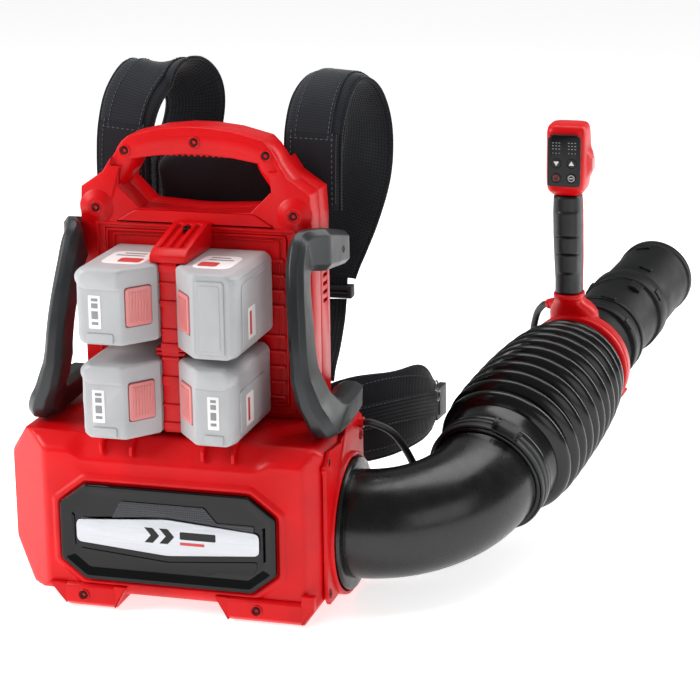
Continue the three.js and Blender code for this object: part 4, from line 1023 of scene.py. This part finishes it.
def pack(name, side, z0, z1, outer):
    mid = (z0 + z1) / 2
    x = lambda a, b: sorted([side * a, side * b])
    stepped = name != "right_top"
    band_low = z1 - 21
    shells = [pack_body(side, z0, z1, outer - 0.8, -1.0, -115.2 if stepped else -116.0)]
    if stepped:
        shells.append(pack_body(side, band_low, z1 - 0.4, outer - 0.2, -60.0, PACK_FRONT, 0.3, 0.0))
        shells.append(tablet(rect(*x(BEVEL_X + 8, outer - 14), z0 + 2, z0 + 12), 114.8, 116.6, 2, 0.8))
    else:
        shells.append(tablet(rect(*x(BEVEL_X + 3, outer - 14), z0 + 5, z1 - 6), 115.6, 117.6, 3, 0.9))
        shells.append(tablet(rect(*x(BEVEL_X + 7, outer - 18), z0 + 9, z1 - 10), 117.0, 118.0, 2, 0.5))
    plane = side_plane(side, outer)
    fore, aft = (-100, -24) if side > 0 else (24, 100)
    shells.append(tablet(rect(fore, aft, z0 + 10, (band_low - 4) if stepped else z1 - 12), -1.4, 0.0, 4, 0.5,
                         plane))
    z_axis_plane = (np.array([0, 0, z1 - 0.6]), X_AXIS, np.array([0, 1.0, 0]))
    shells.append(tablet(rect(*x(22, outer - 12), -96, -18), -0.4, 0.5, 6, 0.4, z_axis_plane))
    button_plane = bevel_plane(side, mid)
    case = piece("pack_" + name, shells, pack_case, None, (), 32)
    well = tablet(rect(-15.3, 15.3, -20.3, 20.3), -8.4, 6.0, 3.4, 0.3, button_plane)
    cut_away(case, piece("cutter", well, pack_case, None), True)
    dress(case, "pack_" + name, "battery_" + name)
    label_x = (58, 71) if side < 0 else (47, 60)
    if name == "right_low":
        label_x = (50, 62)
    marks = [tablet(rect(*x(*label_x), mid - 22, mid + 12), 115.0, 115.7, 1, 0.2)] if stepped else []
    grey = [tablet(rect(*x(label_x[0] + 3, label_x[1] - 3), mid + dz, mid + dz + h), 115.5, 115.85, 0.6, 0.1,
                   slot=1)
            for dz, h in ((-18, 3), (-12, 8), (-1, 5), (6, 3))] if stepped else []
    top = tablet(rounded(rect(*x(26, outer - 18), -88, -34), 12), 0.2, 0.75, 2, 0.2, z_axis_plane)
    spots = [tablet(rect(*x(30, outer - 34), -80, -62), 0.5, 0.9, 4, 0.1, z_axis_plane, slot=2),
             tablet(rect(*x(34, outer - 24), -54, -50), 0.5, 0.9, 1, 0.1, z_axis_plane, slot=1),
             tablet(rect(*x(34, outer - 30), -45, -41), 0.5, 0.9, 1, 0.1, z_axis_plane, slot=1)]
    side_label = [tablet(rect(*sorted([-84 * side, -62 * side]), z0 + 14, z0 + 46), -0.2, 0.35, 1.5, 0.1,
                         plane),
                  tablet(rect(*sorted([-80 * side, -74 * side]), z0 + 18, z0 + 42), 0.1, 0.5, 1, 0.1, plane,
                         slot=2)]
    prints = marks + grey + ([top, *spots] if name.endswith("top") else []) + (side_label if side > 0 else [])
    piece("label_" + name, prints, [label_white, label_grey, label_red], "pack_" + name, ())
    body = tablet(rect(-14.4, 14.4, -19.4, 19.4), -4.8, 2.0, 3, 1.2, button_plane)
    ribs = [tablet(rect(u - 0.8, u + 0.8, -15.5, 15.5), 1.6, 2.95, 0.7, 0.5,
                   button_plane) for u in np.arange(-10, 10.1, 3.3)]
    piece("button_" + name, [body, *ribs], button_abs, "release_" + name, "release_button_" + name)
    return case


for pack_name, sizes in PACKS.items():
    made = pack(pack_name, *sizes)
    print(made.name, "faces", len(made.data.polygons))

# %% [markdown]
# ## Side guards
# Two hooped guards protect the packs when the blower is laid down. Each is one bar of nylon that narrows
# and leans outwards towards its foot. Pairs of points, outer and inner, are the bar's edges. Straight lines
# join them, a short average rounds the corners, and a chamfered section spans between the two edges.

# %% Guards
GUARD_EDGES = np.array([
    [78, 368, 78, 333], [54, 374, 54, 336], [30, 380, 30, 339], [4, 386, 4, 342], [-22, 389, -8, 344],
    [-38, 380, -14, 341], [-50, 362, -18, 336], [-64, 325, -26, 313], [-74, 285, -31, 285],
    [-77.5, 245, -32, 250], [-77, 215, -29, 226], [-73, 197, -20, 217], [-62, 185.4, -12, 214.5],
    [-30, 184.9, 2, 214], [4, 185.8, 16, 214], [46, 190.2, 46, 215.8],
], float)
GUARD_HALF, GUARD_STATIONS, GUARD_FOOT_EXTRA = 9.5, 110, 5.5


def guard_centre(y, z):
    """How far out the bar stands: further at the foot, and clear of the frame behind its front face."""
    x = np.interp(z, [184, 200, 215, 225, 250, 300, 345, 400], [155, 152, 146, 140, 132, 127, 121, 118])
    clear = 124 + 0.3 + GUARD_HALF + 0.4
    behind = np.clip((y + 20) / 24, 0, 1)
    return np.where(z > 320, x + (clear - x) * behind, x)


def guard(side):
    """Sections from edge to edge: t crosses the bar from outer to inner, d is its thickness, which grows
    towards the foot. The section is a rectangle with broad flat chamfers."""
    stations = np.linspace(0, len(GUARD_EDGES) - 1, GUARD_STATIONS)
    edges = np.stack([np.interp(stations, np.arange(len(GUARD_EDGES)), c) for c in GUARD_EDGES.T], 1)
    edges[2:-2] = (edges[:-4] + edges[1:-3] + edges[2:-2] + edges[3:-1] + edges[4:]) / 5
    mid_y, mid_z = (edges[:, 0] + edges[:, 2]) / 2, (edges[:, 1] + edges[:, 3]) / 2
    x = guard_centre(mid_y, mid_z)
    flat = rounded([(-22, -4), (-22, 4), (-15, 9.5), (15, 9.5), (22, 4), (22, -4), (15, -9.5), (-15, -9.5)],
                   1.1)
    t, d = flat[:, 0] / 44 + 0.5, flat[:, 1] / 9.5
    half = GUARD_HALF + GUARD_FOOT_EXTRA * np.clip((262 - mid_z) / 60, 0, 1)
    y = edges[:, 0, None] + (edges[:, 2] - edges[:, 0])[:, None] * t
    z = edges[:, 1, None] + (edges[:, 3] - edges[:, 1])[:, None] * t
    count = np.arange(GUARD_STATIONS)
    ends = np.minimum(1, 0.86 + np.minimum(count, count[::-1]) / 12)[:, None]
    return np.stack([side * (x[:, None] + half[:, None] * d * ends), y, z], -1)


for word, side in (("left", -1), ("right", 1)):
    arm = screw((side * 144.0, 52, 354), (side, 0, 0), 4.0, 0.2)
    piece(word + "_guard_bar", [shell(guard(side))], nylon, "frame", word + "_guard", 50)
    piece(word + "_guard_screw", [arm], black_steel, "frame", ())

# %% [markdown]
# ## The harness
# The pads are foam sewn into nylon. A closed shape is remeshed, blown up a little by Cloth with pressure,
# and kept within a few millimetres of its start, which gives the taut, slightly uneven swell of real foam.
# Seams and piping come afterwards, because the remesh would wipe them out.

# %% Padding
VOXEL_MM = 5.0
SIM_FRAMES = 20


def puffed(name, shells, material, nodes, cap_mm, pressure=4.0, rest_y=None):
    """Remesh, inflate, limit how far each point moved, flatten against rest_y, and subdivide once."""
    pad = piece(name, shells, material, None)
    remesh = pad.modifiers.new("even", "REMESH")
    remesh.mode, remesh.voxel_size = "VOXEL", VOXEL_MM * MM
    applied(pad)
    soften = pad.modifiers.new("soften", "SMOOTH")
    soften.iterations = 4
    applied(pad)
    start = np.empty(len(pad.data.vertices) * 3)
    pad.data.vertices.foreach_get("co", start)
    cloth = pad.modifiers.new("cloth", "CLOTH")
    cloth.settings.use_pressure = True
    cloth.settings.uniform_pressure_force = pressure
    cloth.settings.effector_weights.gravity = 0
    cloth.settings.quality = 5
    cloth.point_cache.frame_end = SIM_FRAMES
    for step_frame in range(1, SIM_FRAMES + 1):
        bpy.context.scene.frame_set(step_frame)
    applied(pad)
    bpy.context.scene.frame_set(1)
    end = np.empty_like(start)
    pad.data.vertices.foreach_get("co", end)
    start, move = start.reshape(-1, 3), (end - start).reshape(-1, 3)
    far = np.maximum(np.linalg.norm(move, axis=1, keepdims=True) / (cap_mm * MM), 1)
    end = start + move / far
    if rest_y is not None:
        end[:, 1] = np.maximum(end[:, 1], at([0, rest_y, 0])[1])
    pad.data.vertices.foreach_set("co", end.ravel())
    pad.data.materials.clear()
    pad.data.materials.append(material)
    finer = pad.modifiers.new("finer", "SUBSURF")
    finer.levels = finer.render_levels = 1
    applied(pad, 180)
    pad.data.shade_smooth()
    dress(pad, "frame", nodes)
    print(name, "faces", len(pad.data.polygons))
    return pad


BACK_Y = (np.zeros(3), np.array([-1.0, 0, 0]), Z_AXIS)  # a plane whose heights grow towards +Y
back_outline = rounded(mirror([(72, 243), (89, 260), (89, 364), (69, 380), (69, 435), (52, 451)]), 12, 6)
lumbar_outline = rounded(mirror([(68, 115), (85, 131), (85, 210), (68, 225)]), 12, 6)
puffed("back_cushion", plate(back_outline, eased(73.2, 91.5, 7, 6), BACK_Y), pad_nylon, "back_pad", 5, 3.0,
       72.9)
puffed("lumbar_cushion", plate(lumbar_outline, eased(73.2, 95.5, 8, 6), BACK_Y), pad_nylon, "lumbar_pad", 5,
       3.0, 72.9)

# %% [markdown]
# ### Seams on the pads
# Piping closes each pad's edge and two sewn channels run up the back pad. Stitches are short rods of thread
# laid end to end along a line, one every few millimetres.

# %% Stitches and piping
STITCH_MM, STITCH_PITCH = 3.2, 4.8


def stitches(line, up, radius=0.5):
    """Short rods along a line: a six-sided template is turned to the line's direction at each step."""
    line = np.asarray(line, float)
    length = np.linalg.norm(np.diff(line, axis=0), axis=1).sum()
    middle = smooth(line, max(int(length / STITCH_PITCH), 3))
    along = unit(np.gradient(middle, axis=0))
    up = unit(np.broadcast_to(np.asarray(up, float), middle.shape))
    side = np.cross(along, up)
    a = np.linspace(0, 2 * np.pi, 6, endpoint=False)
    l = np.array([-0.5, -0.36, 0.36, 0.5]) * STITCH_MM
    r = np.array([0.35, 1, 1, 0.35]) * radius
    rod_points = (middle[:, None, None] + l[None, :, None, None] * along[:, None, None]
                  + (r[:, None] * np.cos(a))[None, ..., None] * side[:, None, None]
                  + (r[:, None] * np.sin(a))[None, ..., None] * up[:, None, None])
    one = shell(rod_points[0])
    count, size = len(middle), len(one["points"])
    faces = [[i + k * size for i in f] for k in range(count) for f in one["faces"]]
    return {"points": rod_points.reshape(-1, 3), "faces": faces, "uv": np.tile(one["uv"], (count, 1)),
            "slots": np.tile(one["slots"], count)}


def looped(path, radius, count=10):
    """A closed rod round a loop of points."""
    ahead = unit(np.roll(path, -1, 0) - np.roll(path, 1, 0))
    w = unit(np.cross(ahead, [0.1, 1.0, 0.2]))
    ring = oval(radius, radius, count)
    return shell(path[:, None] + ring[:, :1] * w[:, None] + ring[:, 1:] * np.cross(ahead, w)[:, None],
                 ring=True)


edge_loops = [looped(lift(inset(back_outline, 0.4), 83, BACK_Y), 1.9),
              looped(lift(inset(lumbar_outline, 0.4), 84, BACK_Y), 1.9)]
piece("pad_piping", edge_loops, ribbed_nylon, "frame", ())
pad_lines = [stitches([(x, 94.2, z) for z in np.linspace(262, 430, 6)], (0, 1, 0)) for x in (-34, 34)]
piece("pad_stitches", pad_lines, thread, "frame", ())

# %% [markdown]
# ### Shoulder straps
# Each strap is a padded band: ribbed nylon outside, spacer mesh against the shoulder, piping on both edges,
# a run of webbing sewn down its middle and a stiff sewn patch where it joins the back. The outer face swells
# between cross seams. The path is a smooth curve; a width and a lean are read along it.

# %% Shoulder straps
STRAP_PATHS = {
    "left": [(-104, 80, 388), (-104, 80, 430), (-102, 84, 468), (-96, 98, 500), (-84, 122, 521),
             (-66, 146, 517),
             (-54, 165, 495), (-58, 172, 460), (-74, 170, 415), (-94, 163, 370), (-106, 154, 330),
             (-108, 148, 301)],
    "right": [(104, 80, 388), (104, 80, 430), (104, 84, 468), (108, 98, 500), (116, 122, 519),
              (126, 146, 515),
              (134, 165, 495), (138, 172, 460), (134, 170, 415), (122, 163, 370), (111, 154, 330),
              (108, 148, 301)],
}
STRAP_LEAN = [0, 0, 0, -0.1, -0.3, -0.45, -0.5, -0.4, -0.2, 0, 0, 0]
STRAP_WIDTH = [58, 59, 60, 62, 62, 62, 62, 62, 62, 60, 54, 40]
STRAP_STEPS = 150


def strap_frame(word, side):
    """The strap's centre line, its width direction, the outward direction and its half width."""
    table = np.column_stack([STRAP_PATHS[word], STRAP_LEAN, STRAP_WIDTH])
    table = smooth(table * [1, 1, 1, 20, 0.5], STRAP_STEPS) / [1, 1, 1, 20, 0.5]
    path = table[:, :3]
    along = unit(np.gradient(path, axis=0))
    wide = np.stack([np.full(STRAP_STEPS, float(side)), table[:, 3], 0 * path[:, 0]], 1)
    wide = unit(wide - along * np.sum(wide * along, 1, keepdims=True))
    out = -side * np.cross(along, wide)
    return path, wide, out, table[:, 4] / 2


def band_on(path, wide, out, half, lift_mm, thick, power=5.0, count=40, slots=None):
    """A flat band that follows a strap: half widths across, lifted along the outward direction."""
    ring = oval(1.0, 1.0, count, power)
    across = np.asarray(half, float).reshape(-1, 1, 1) * ring[None, :, :1]
    through = np.asarray(lift_mm, float).reshape(-1, 1, 1) + thick / 2 * ring[None, :, 1:]
    return shell(path[:, None] + across * wide[:, None] + through * out[:, None], slots=slots)


for word, side in (("left", -1), ("right", 1)):
    path, wide, out, half = strap_frame(word, side)
    ring = oval(1.0, 1.0, 56, 3.0)
    s = np.linspace(0, 1, STRAP_STEPS)
    swell = 1 + 0.10 * np.abs(np.sin(np.pi * 7 * s)) ** 0.6 - 0.08
    crease = 0.5 * np.sin(23 * s + 2.0) * np.sin(9 * s + side)
    points = (path[:, None] + half[:, None, None] * 0.96 * ring[None, :, :1] * wide[:, None]
              + (crease[:, None, None] + 5.4 * swell[:, None, None] * ring[None, :,
                      1:] * (1 - 0.12 * ring[None, :, :1] ** 2))
              * out[:, None])
    inside = (ring[:, 1] + np.roll(ring[:, 1], -1)) < 0
    strap = piece("strap_" + word, shell(points, slots=inside.astype(int)), [ribbed_nylon, spacer_mesh],
                  "frame",
                  "shoulder_strap_" + word, 60)
    edges = [rod(path + k * half[:, None] * 0.985 * wide, 2.0, 10, (0.4, 1, 0.3)) for k in (-1, 1)]
    piece("strap_piping_" + word, edges, spacer_mesh, "frame", ())
    run = slice(28, STRAP_STEPS - 4)
    over = band_on(path[run], wide[run], out[run], np.minimum(half[run] - 8, 20), 5.9, 1.6)
    patch_run = slice(3, 30)
    patch = band_on(path[patch_run], wide[patch_run], out[patch_run], half[patch_run] - 3.5, 5.9, 2.6, 8.0)
    piece("strap_webbing_" + word, [over], ribbed_nylon, "frame", ())
    piece("strap_patch_" + word, [patch], pad_nylon, "frame", ())
    lines = [stitches(path[run] + k * 17.5 * wide[run] + 6.9 * out[run],
                      out[run][len(out[run]) // 2]) for k in (-1, 1)]
    lines += [stitches(path[patch_run] + k * 22 * wide[patch_run] + 7.4 * out[patch_run],
                       out[12]) for k in (-1, 1)]
    lines += [stitches([path[i] + t * wide[i] + 7.4 * out[i] for t in np.linspace(-22, 22, 4)],
                       out[i]) for i in (5, 27)]
    piece("strap_stitches_" + word, lines, thread, "frame", ())
    tongue = smooth([(side * 108, 149.5, 306), (side * 108, 148, 300), (side * 108, 145.2, 290),
                     (side * 108, 143.6, 284)], 20)
    piece("strap_tongue_" + word, shell(carry(tongue, X_AXIS, oval(12.5, 1.4, 28, 6))), webbing, "frame", ())
    eased_copy("ladder_lock_" + word, "strap_lock_" + word, 0.9, dark_nylon)
    low = smooth([(side * x, y, z) for x, y, z in ((108, 143, 277), (109, 132, 258), (111, 106, 234),
                                                   (112, 84, 218), (112, 76, 205))], 40)
    piece("strap_tail_" + word, shell(carry(low, X_AXIS, oval(12.5, 1.2, 28, 6))), webbing, "frame",
          "lower_webbing_" + word)
print("straps done")

# %% [markdown]
# ### Hip wings
# The hip wings are padded panels that curve round the waist. Their height follows the drawing, a bound edge
# runs along both rims, and a strip of webbing carries the buckle at the end.

# %% Hip wings
HIP_PATH = [(89, 87, 152), (104, 87, 152), (132, 104, 154), (160, 132, 156), (179, 168, 153), (189, 206, 146),
            (192, 240, 138)]
HIP_HEIGHT = [72, 76, 86, 92, 88, 74, 52]
for word, side in (("left", -1), ("right", 1)):
    table = smooth(np.column_stack([HIP_PATH, HIP_HEIGHT]), 70)
    path, half = table[:, :3] * [side, 1, 1], table[:, 3] / 2
    along = unit(np.gradient(path, axis=0))
    wide = unit(Z_AXIS - along * along[:, 2:])
    out = side * np.cross(along, wide)
    ring = oval(1.0, 1.0, 60, 2.6)
    wavy = half * (0.985 + 0.02 * np.sin(np.linspace(0, 7, 70)))
    humps = 1 + 0.13 * np.sin(np.linspace(-0.6, 4 * np.pi - 1.6, 70)) * np.linspace(0.2, 1, 70)
    reach_up = np.where(ring[None, :, :1] > 0, humps[:, None, None], 1.1)
    points = (path[:, None] + wavy[:, None, None] * reach_up * ring[None, :, :1] * wide[:, None]
              + 5.2 * ring[None, :, 1:] * (1.06 - 0.25 * ring[None, :, :1] ** 4) * out[:, None])
    inside = (ring[:, 1] + np.roll(ring[:, 1], -1)) < 0
    wing = piece("wing_" + word, shell(points, slots=inside.astype(int)), [pad_nylon, spacer_mesh], "frame",
                 "hip_wing_" + word,
                 60)
    rims = [rod(path + k * (wavy * grow)[:, None] * wide, 1.9, 10, (0.4, 1, 0.3)) for k,
            grow in ((-1, 1.1), (1, humps))]
    loops = [looped(path[i] + 9.5 * out[i] + k * wavy[i] * wide[i] + 5.5 * (np.cos(turn)[:, None] * along[i]
             + np.sin(turn)[:, None] * wide[i]), 1.0, 10) for i, k in ((60, 0.62), (64, 0.3))]
    piece("wing_rings_" + word, loops, steel, "frame", ())
    piece("wing_binding_" + word, rims, ribbed_nylon, "frame", ())
    strip = band_on(path[12:], wide[12:], out[12:], np.full(58, 14.0), 5.6, 1.8)
    piece("wing_webbing_" + word, [strip], webbing, "frame", ())
    lines = [stitches(path[12:] + k * 12 * wide[12:] + 6.6 * out[12:], out[40]) for k in (-1, 1)]
    lines += [stitches(path[4:-2] + k * (wavy[4:-2, None] - 7) * wide[4:-2] + 5.0 * out[4:-2],
                       out[40]) for k in (-1, 1)]
    piece("wing_stitches_" + word, lines, thread, "frame", ())
    eased_copy("hip_buckle_" + word, "wing_buckle_" + word, 1.6, dark_nylon)

# %% [markdown]
# ## The control handle
# A red collar clamps on the tube behind the bellows and grows a pedestal for the grip. The pedestal's
# sections are superellipses whose sizes and centres are read along its height.

# %% Collar and pedestal
GRIP_X, GRIP_Y, GRIP_Z0, GRIP_LEAN = 325.0, 350.0, 247.0, -0.025


def column(z, half_x, half_y, shift_x=0.0, shift_y=0.0, power=2.5, count=72):
    """Superellipse sections stacked along the grip's leaning axis."""
    t = np.linspace(0, 2 * np.pi, count, endpoint=False)
    c, s = np.cos(t), np.sin(t)
    x = np.sign(c) * np.abs(c) ** (2 / power)
    y = np.sign(s) * np.abs(s) ** (2 / power)
    z = np.asarray(z, float)
    full = lambda v: np.broadcast_to(np.asarray(v, float), z.shape)[:, None]
    centre = GRIP_X + GRIP_LEAN * (z - GRIP_Z0)
    return np.stack([centre[:, None] + full(shift_x) + full(half_x) * x,
                     GRIP_Y + full(shift_y) + full(half_y) * y,
                     z[:, None] + 0 * x], -1)


foot_table = smooth([(212, 28, 22, 3.6, 14), (222, 27, 22, 3, 12), (230, 23, 21.5, 2, 8),
                     (236, 18, 20.5, 0.8, 3.5),
                     (240, 16.4, 20.4, 0, 0.6), (241.5, 17.2, 21.6, 0, 0), (245.6, 17.2, 21.6, 0, 0),
                     (246.6, 16.4, 20.8, 0, 0)], 40)
pedestal = shell(column(*foot_table.T))
clamp_ring = turned([(266.6, 54.6), (266.6, 60.4), (267.3, 61.5), (268.6, 62), (273, 61.7), (273.6, 60.9),
                     (275.4, 60.8),
                     (276, 61.5), (287, 60.4), (289, 59.6), (290, 58.4), (290, 47.6), (280, 47.5),
                     (267.4, 47.5)], 120)
gland_l = np.array([0, 0.6, 1.2, 5, 5.6, 7, 7.6, 12, 18])
gland_r = np.array([5.2, 5.8, 6.0, 6.0, 5.4, 5.4, 6.0, 6.0, 6.6])
gland = shell(around(gland_end + gland_l[:, None] * gland_dir, np.tile(gland_dir, (9, 1)), gland_r, 32))
knuckle = [tab(278, math.radians(a), 60.6, (4, 10.5, 3.0)) for a in (198, 250, 330)]
piece("handle_clamp", [pedestal, clamp_ring, gland, *knuckle], red_abs, "wand", "handle_collar")

# %% [markdown]
# ### Grip and trigger
# The grip is soft black rubber over a core. A raised panel with two cross grooves faces away from the hand,
# finger swells run down the trigger side, and a red line of the core shows along the seam.

# %% Grip
z = np.linspace(247.2, 359.8, 170)
table = np.stack([np.interp(z, [247, 262, 290, 318, 340, 360], [15.3, 15, 16, 16.6, 16.6, 15.6]),
                  np.interp(z, [247, 262, 290, 318, 340, 360], [19.8, 19.5, 20.5, 21, 20.5, 20.0])])
ends = np.minimum(1, 0.93 + 0.07 * np.minimum(z - 247.2, 359.8 - z) / 2.0)
grip_points = column(z, table[0] * ends, table[1] * ends, count=120)
offset = grip_points - np.stack([GRIP_X + GRIP_LEAN * (z - GRIP_Z0), 0 * z + GRIP_Y, z], 1)[:, None]
angle = np.arctan2(offset[..., 1], offset[..., 0])
height = z[:, None] + 0 * angle
facing = np.exp(-((angle + 1.45) / 0.62) ** 6)
panel_mask = facing / (1 + np.exp(-(height - 272) / 0.5)) / (1 + np.exp((height - 342) / 0.5))
grooves = sum(np.exp(-((height - k) / 0.9) ** 2) for k in (294, 314)) * facing
fingers = np.clip(np.sin(angle), 0, 1) ** 2 * 0.5 * np.cos((height - 247) * 2 * np.pi / 24) * (height < 306)
fine = 0.22 * np.sin(height * 2 * np.pi / 2.6) * np.exp(-((np.abs(angle) - 2.6) / 0.35) ** 4)
push = 1.3 * panel_mask - 1.9 * grooves + fingers + fine
grip_points[..., :2] += unit(offset)[..., :2] * push[..., None]
room = (np.abs(grip_points[..., 0] - (GRIP_X + GRIP_LEAN * 91)) < 8.4) & (height > 309) & (height < 357)
grip_points[..., 1] = np.where(room, np.minimum(grip_points[..., 1], 360.4), grip_points[..., 1])
piece("hand_grip", shell(grip_points), grip_tpe, "wand", "grip", 50)
seam_z = np.linspace(252, 356, 40)
seam = np.stack([GRIP_X + GRIP_LEAN * (seam_z - GRIP_Z0) + np.interp(seam_z, z, table[0]) - 0.55,
                 GRIP_Y + 2.5 + 2.0 * np.sin((seam_z - 252) / 16), seam_z], 1)
piece("grip_seam", shell(carry(seam, (0, 1, 0), oval(2.6, 1.0, 20))), red_abs, "wand", ())
eased_copy("trigger", "trigger_lever", 1.4, dark_nylon, "trigger")

# %% [markdown]
# ### Head and keys
# The head is a red shell with full rounded corners, a taper towards the grip and a thumb bulge on its right.
# Four keys stand in a glossy black panel, under rows of small charge lights.

# %% Head
level_z = np.array([360.8, 361.6, 363, 367, 372, 378, 390, 400, 412, 422, 430, 435, 438.6, 440.6, 441.6])
half_x = np.array([14.6, 16.2, 17.6, 20.4, 21.6, 22.2, 22.4, 22.4, 22.4, 22.4, 22.4, 22, 20.8, 19, 15.6])
half_y = np.array([18, 19.5, 21.5, 25.0, 26.6, 27, 27.2, 27.2, 27, 26, 24, 22.5, 20.6, 18.4, 15.0])
centre_y = np.array([352, 352, 351.5, 350, 349.6, 349.4, 349.4, 349.4, 349.4, 348.6, 347, 346.2, 346, 346,
                     346]) - GRIP_Y
head_table = smooth(np.stack([level_z, half_x, half_y, 0 * level_z, centre_y], 1), 70)
head_points = column(head_table[:, 0], head_table[:, 1], head_table[:, 2],
                     322.5 - (GRIP_X + GRIP_LEAN * (head_table[:, 0] - GRIP_Z0)),
                     head_table[:, 4], 5.0, 120)
bulge = np.exp(-((head_points[..., 2] - 396) / 15) ** 4) * np.exp(-((head_points[..., 1] - 352) / 14) ** 4)
head_points[..., 0] += 5.0 * bulge * (head_points[..., 0] > 339)
head_points[..., 1] = np.maximum(head_points[..., 1], 322.05)
piece("control_head", shell(head_points), red_abs, "wand", "head", 60)
# The pink plate on the bulge's face is a painted highlight: it stands for the light that this red facet
# reflects, and is no separate part.
highlight_patch = tablet(rect(344, 360, 388, 402), 348.2, 350.4, 3, 0.8, (np.zeros(3), np.array([0, 1.0, 0]), Z_AXIS))
piece("painted_highlight_patch", highlight_patch, button_abs, "wand", ())
PANEL = [(305, 374), (340, 374), (341, 377), (341, 427), (337, 432), (308, 432), (304, 427), (304, 377)]
KEYS = {"down": (314, 400), "up": (331, 400), "power": (314, 383.5), "mode": (331, 383.5)}
marks = [tablet(rect(x - w / 2, x + w / 2, z0 - 0.5, z0 + 0.5), -319.0, -318.45, 0.3, 0.1)
         for z0, w in ((423, 2.0), (419.6, 2.0), (416.2, 2.0), (411.4, 1.3)) for x in (310, 313.6, 317.2,
                 327.8, 331.4, 335)]


def disc(x, z, r, low, high, **more):
    t = np.linspace(0, 2 * np.pi, 40, endpoint=False)
    return plate(np.stack([x + r * np.cos(t), z + r * np.sin(t)], 1), eased(low, high, 0.5), **more)


def hoop(x, z, r, y, tube, slot=0):
    t = np.linspace(0, 2 * np.pi, 40, endpoint=False)
    out = looped(np.stack([x + r * np.cos(t), 0 * t + y, z + r * np.sin(t)], 1), tube, 8)
    out["slots"][:] = slot
    return out


key_board = piece("key_board", tablet(PANEL, -321.7, -318.7, 2.5, 0.7), black_abs, None)
cut_away(key_board, piece("cutter", [disc(x, z, 5.35, -325, -315) for x, z in KEYS.values()], black_abs,
                          None))
dress(key_board, "wand", "key_panel")
piece("charge_lights", marks, label_grey, "wand", ())
KEY_LOOKS = {
    "down": [tablet([(311, 402.2), (317, 402.2), (314, 397)], -318.0, -317.7, 0.6, 0.1, slot=1)],
    "up": [tablet([(328, 398), (334, 398), (331, 403.2)], -318.0, -317.7, 0.6, 0.1, slot=1)],
    "power": [hoop(314, 383.5, 3.0, 317.95, 0.36, 1), tablet(rect(313.65, 314.35, 383.6, 387), -318.0, -317.7,
            0.2, 0.1, slot=1)],
    "mode": [hoop(331, 383.5, 3.4, 317.95, 0.3, 1), tablet(rect(329.1, 332.9, 383.1, 383.9), -318.0, -317.7,
                                                           0.2, 0.1, slot=1)],
}
for key, (x, z0) in KEYS.items():
    paint = key_red_abs if key == "power" else key_abs
    piece("key_top_" + key, [disc(x, z0, 4.95, -320.5, -317.9), *KEY_LOOKS[key]],
          [dark_nylon, key_red_abs if key == "power" else label_white], "key_" + key, "key_" + key)

# %% [markdown]
# ## Parts inside the case
# The fan, motor and board stay as drawn and only get their real finishes.

# %% Inside finishes
INSIDE = {
    "fan_duct": dark_nylon, "guide_vanes": dark_nylon, "impeller": dark_nylon, "motor": motor_aluminium,
    "motor_shaft": steel, "bearing_front": steel, "bearing_rear": steel, "control_board": board_fr4,
}
for name, material in INSIDE.items():
    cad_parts[name].material_slots[0].material = material
left = [n for n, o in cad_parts.items() if not o.hide_render and n not in INSIDE]
print("nodes still shown:", left)

# %% [markdown]
# ## Floor and light
# A plain pale floor and large soft lights show the forms without hard shadows. The key light stands to the
# left, a weaker fill to the right, and a strip behind gives the black hose its long highlight.

# %% Stage
pale_paint, tree, shader, where = finish_named(
    "lit_white_acrylic", "#f4f4f4", 0.9, Specular_IOR_Level=0.1, Emission_Strength=0.7)
shader.inputs["Emission Color"].default_value = linear("#ffffff")
far = 9000.0
floor = piece("floor", shell(np.array([[[-far, -far, -0.6], [far, -far, -0.6]],
                                       [[-far, far, -0.6], [far, far, -0.6]]]),
                             round_cols=False), pale_paint, None)
sky = bpy.data.worlds.new("studio")
bpy.context.scene.world = sky
sky.use_nodes = True
sky.node_tree.nodes["Background"].inputs[0].default_value = (1, 1, 1, 1)
sky.node_tree.nodes["Background"].inputs[1].default_value = 0.24
LIGHTS = {  # place in mm, width and height in m, watts
    "key": ((-2000, -900, 1500), (1.3, 1.3), 56),
    "fill": ((1900, -1500, 900), (1.8, 1.2), 10),
    "top": ((200, 600, 2300), (2.4, 1.2), 34),
    "strip": ((1500, 1500, 1100), (0.5, 1.8), 18),
}
for name, (place, size, watts) in LIGHTS.items():
    lamp = bpy.data.lights.new(name, "AREA")
    lamp.shape, lamp.size, lamp.size_y, lamp.energy = "RECTANGLE", size[0], size[1], watts
    holder = bpy.data.objects.new(name, lamp)
    holder.location = at(place)
    holder.rotation_mode = "QUATERNION"
    holder.rotation_quaternion = (Vector(at((150, 150, 220))) - holder.location).to_track_quat("-Z", "Y")
    bpy.context.scene.collection.objects.link(holder)
